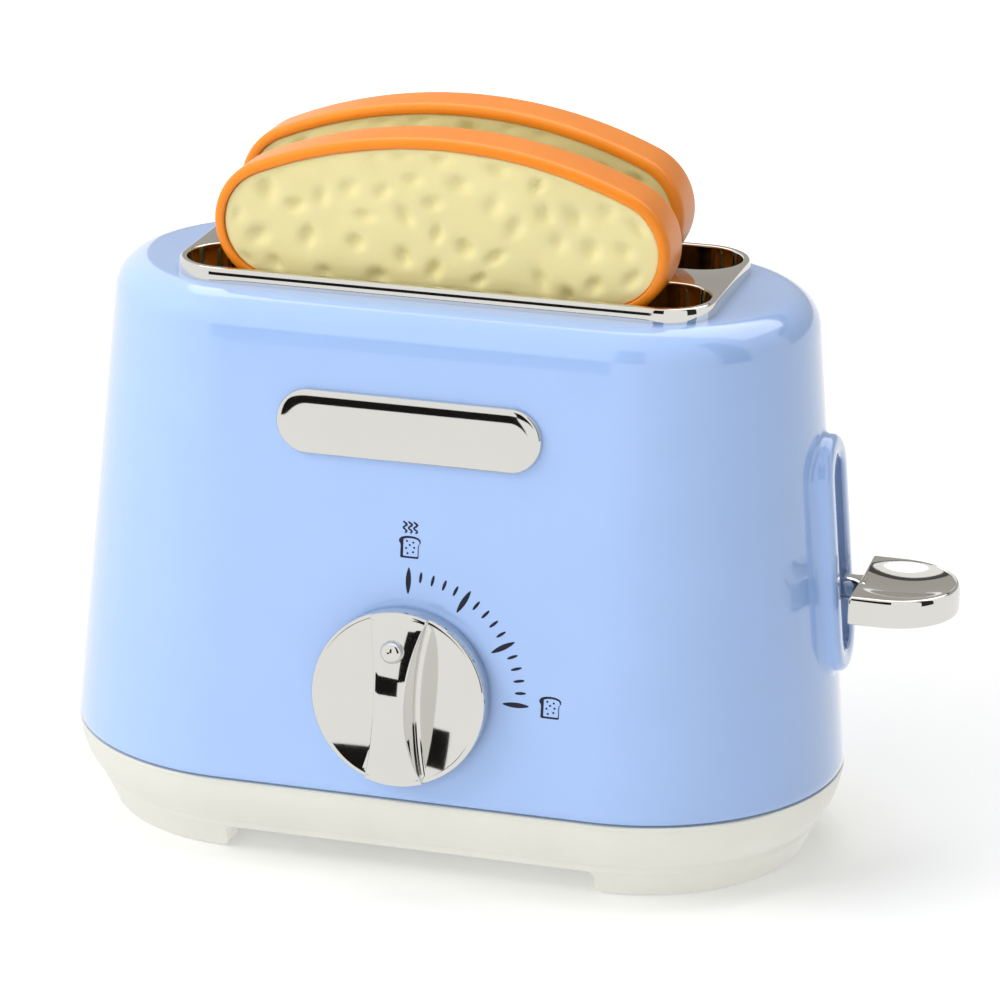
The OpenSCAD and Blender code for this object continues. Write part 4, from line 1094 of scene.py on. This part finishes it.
def floor_paint():
    """A pale matte floor that takes the toy's shadow and is white in mirrors."""
    look, tree = bare_look("floor")
    matte = shader_of(tree, "ShaderNodeBsdfDiffuse", (0.86, 0.86, 0.85, 1))
    glow = shader_of(tree, "ShaderNodeEmission", WHITE_LIGHT)
    # The glow grows away from the toy, so that the far floor is as white as the backdrop.
    place = tree.nodes.new("ShaderNodeTexCoord")
    away = tree.nodes.new("ShaderNodeVectorMath")
    away.operation = "LENGTH"
    tree.links.new(place.outputs["Object"], away.inputs[0])
    growth = tree.nodes.new("ShaderNodeMapRange")
    growth.interpolation_type = "SMOOTHSTEP"
    for socket, value in (("From Min", 0.2), ("From Max", 1.0), ("To Min", 0.24), ("To Max", 0.75)):
        growth.inputs[socket].default_value = value
    tree.links.new(away.outputs["Value"], growth.inputs["Value"])
    tree.links.new(growth.outputs[0], glow.inputs["Strength"])
    both = tree.nodes.new("ShaderNodeAddShader")
    tree.links.new(matte.outputs[0], both.inputs[0])
    tree.links.new(glow.outputs[0], both.inputs[1])
    white = shader_of(tree, "ShaderNodeEmission", WHITE_LIGHT, 1.0)
    ground = by_ray(tree, MIRRORED, white.outputs[0], matte.outputs[0])
    ground = by_ray(tree, CAMERA_RAY, both.outputs[0], ground)
    tree.links.new(ground, tree.nodes["Material Output"].inputs["Surface"])
    return look


def flat_board(name, corners, look):
    """A four-cornered stage piece."""
    mesh = bpy.data.meshes.new(name)
    mesh.from_pydata(corners, [], [(0, 1, 2, 3)])
    mesh.materials.append(look)
    board = bpy.data.objects.new(name, mesh)
    bpy.context.scene.collection.objects.link(board)
    return board


FLOOR_HALF = 6.0
FLOOR_DROP = 0.0002

studio_world()
floor = flat_board("floor", [(-FLOOR_HALF, -FLOOR_HALF, 0), (FLOOR_HALF, -FLOOR_HALF, 0),
                             (FLOOR_HALF, FLOOR_HALF, 0), (-FLOOR_HALF, FLOOR_HALF, 0)], floor_paint())
floor.location.z = -FLOOR_DROP

emitter("key", (-0.85, -0.55, 0.85), (0.8, 0.7), (0, 0, 0.07), (1, 0.99, 0.97), 6.8)
emitter("fill", (-0.25, -1.1, 0.42), (0.7, 0.5), (0, 0, 0.09), (0.97, 0.98, 1), 3.0)
emitter("top", (-0.1, 0.2, 1.1), (1.0, 0.7), (0, 0, 0.1), (1, 1, 1), 5.0)


def card(name, corners, level):
    """A flat card that only mirrors see, like the dark gaps between a studio's white walls."""
    look, tree = bare_look(name)
    paint = shader_of(tree, "ShaderNodeEmission", (1.0, 0.96, 0.9, 1), level)
    tree.links.new(paint.outputs[0], tree.nodes["Material Output"].inputs["Surface"])
    board = flat_board(name, corners, look)
    board.visible_camera = board.visible_diffuse = board.visible_shadow = False


def card_at(name, azimuth_low, azimuth_high, elevation_low, elevation_high, distance, level):
    """A card seen from the toy between two azimuths (0 is the front, + to the right) and elevations."""
    middle = math.radians((azimuth_low + azimuth_high) / 2)
    half = math.radians((azimuth_high - azimuth_low) / 2)
    way = Vector((math.sin(middle), -math.cos(middle), 0))
    across = Vector((math.cos(middle), math.sin(middle), 0))
    foot = Vector((0, 0, 0.08))
    corners = []
    for a, e in ((-1, elevation_low), (1, elevation_low), (1, elevation_high), (-1, elevation_high)):
        spot = foot + way * distance + across * (a * distance * math.tan(half))
        corners.append(spot + Vector((0, 0, distance * math.tan(math.radians(e)))))
    card(name, corners, level)


card_at("dark_low", -34, -9, -4.4, 8.5, 1.02, 0.012)
card_at("dark_front", -9, 12, 7, 46, 1.5, 0.012)
card_at("grey_back", 120, 205, 4, 33, 1.9, 0.44)
card_at("dark_back", 120, 205, 33, 38, 1.85, 0.08)
card_at("dark_right", 62, 84, -8, 60, 1.7, 0.03)
card("soft_top", [(-0.8, 0.2, 1.25), (1.1, 0.2, 1.25), (1.1, 1.35, 1.25), (-0.8, 1.35, 1.25)], 2.4)


def photo_camera():
    """The camera stands where the photograph was taken from."""
    azimuth, elevation, roll = math.radians(15.10), math.radians(18.76), math.radians(1.05)
    focal_px, photo_px, sensor = 4549.9, 1000, 36
    place = np.array([263.86, -944.71, 408.60]) * MM + SHIFT
    back = Vector((math.sin(azimuth) * math.cos(elevation), -math.cos(azimuth) * math.cos(elevation),
                   math.sin(elevation)))
    right = (-back).cross(Vector((0, 0, 1))).normalized()
    up = right.cross(-back)
    right_rolled = math.cos(roll) * right + math.sin(roll) * up
    up_rolled = -math.sin(roll) * right + math.cos(roll) * up
    lens = bpy.data.cameras.new("camera")
    lens.sensor_width = sensor
    lens.lens = focal_px * sensor / photo_px
    camera = bpy.data.objects.new("camera", lens)
    bpy.context.scene.collection.objects.link(camera)
    turn = Matrix((right_rolled, up_rolled, back)).transposed().to_4x4()
    camera.matrix_world = Matrix.Translation(Vector(place)) @ turn
    bpy.context.scene.camera = camera


photo_camera()
bpy.context.scene.view_settings.view_transform = "Standard"
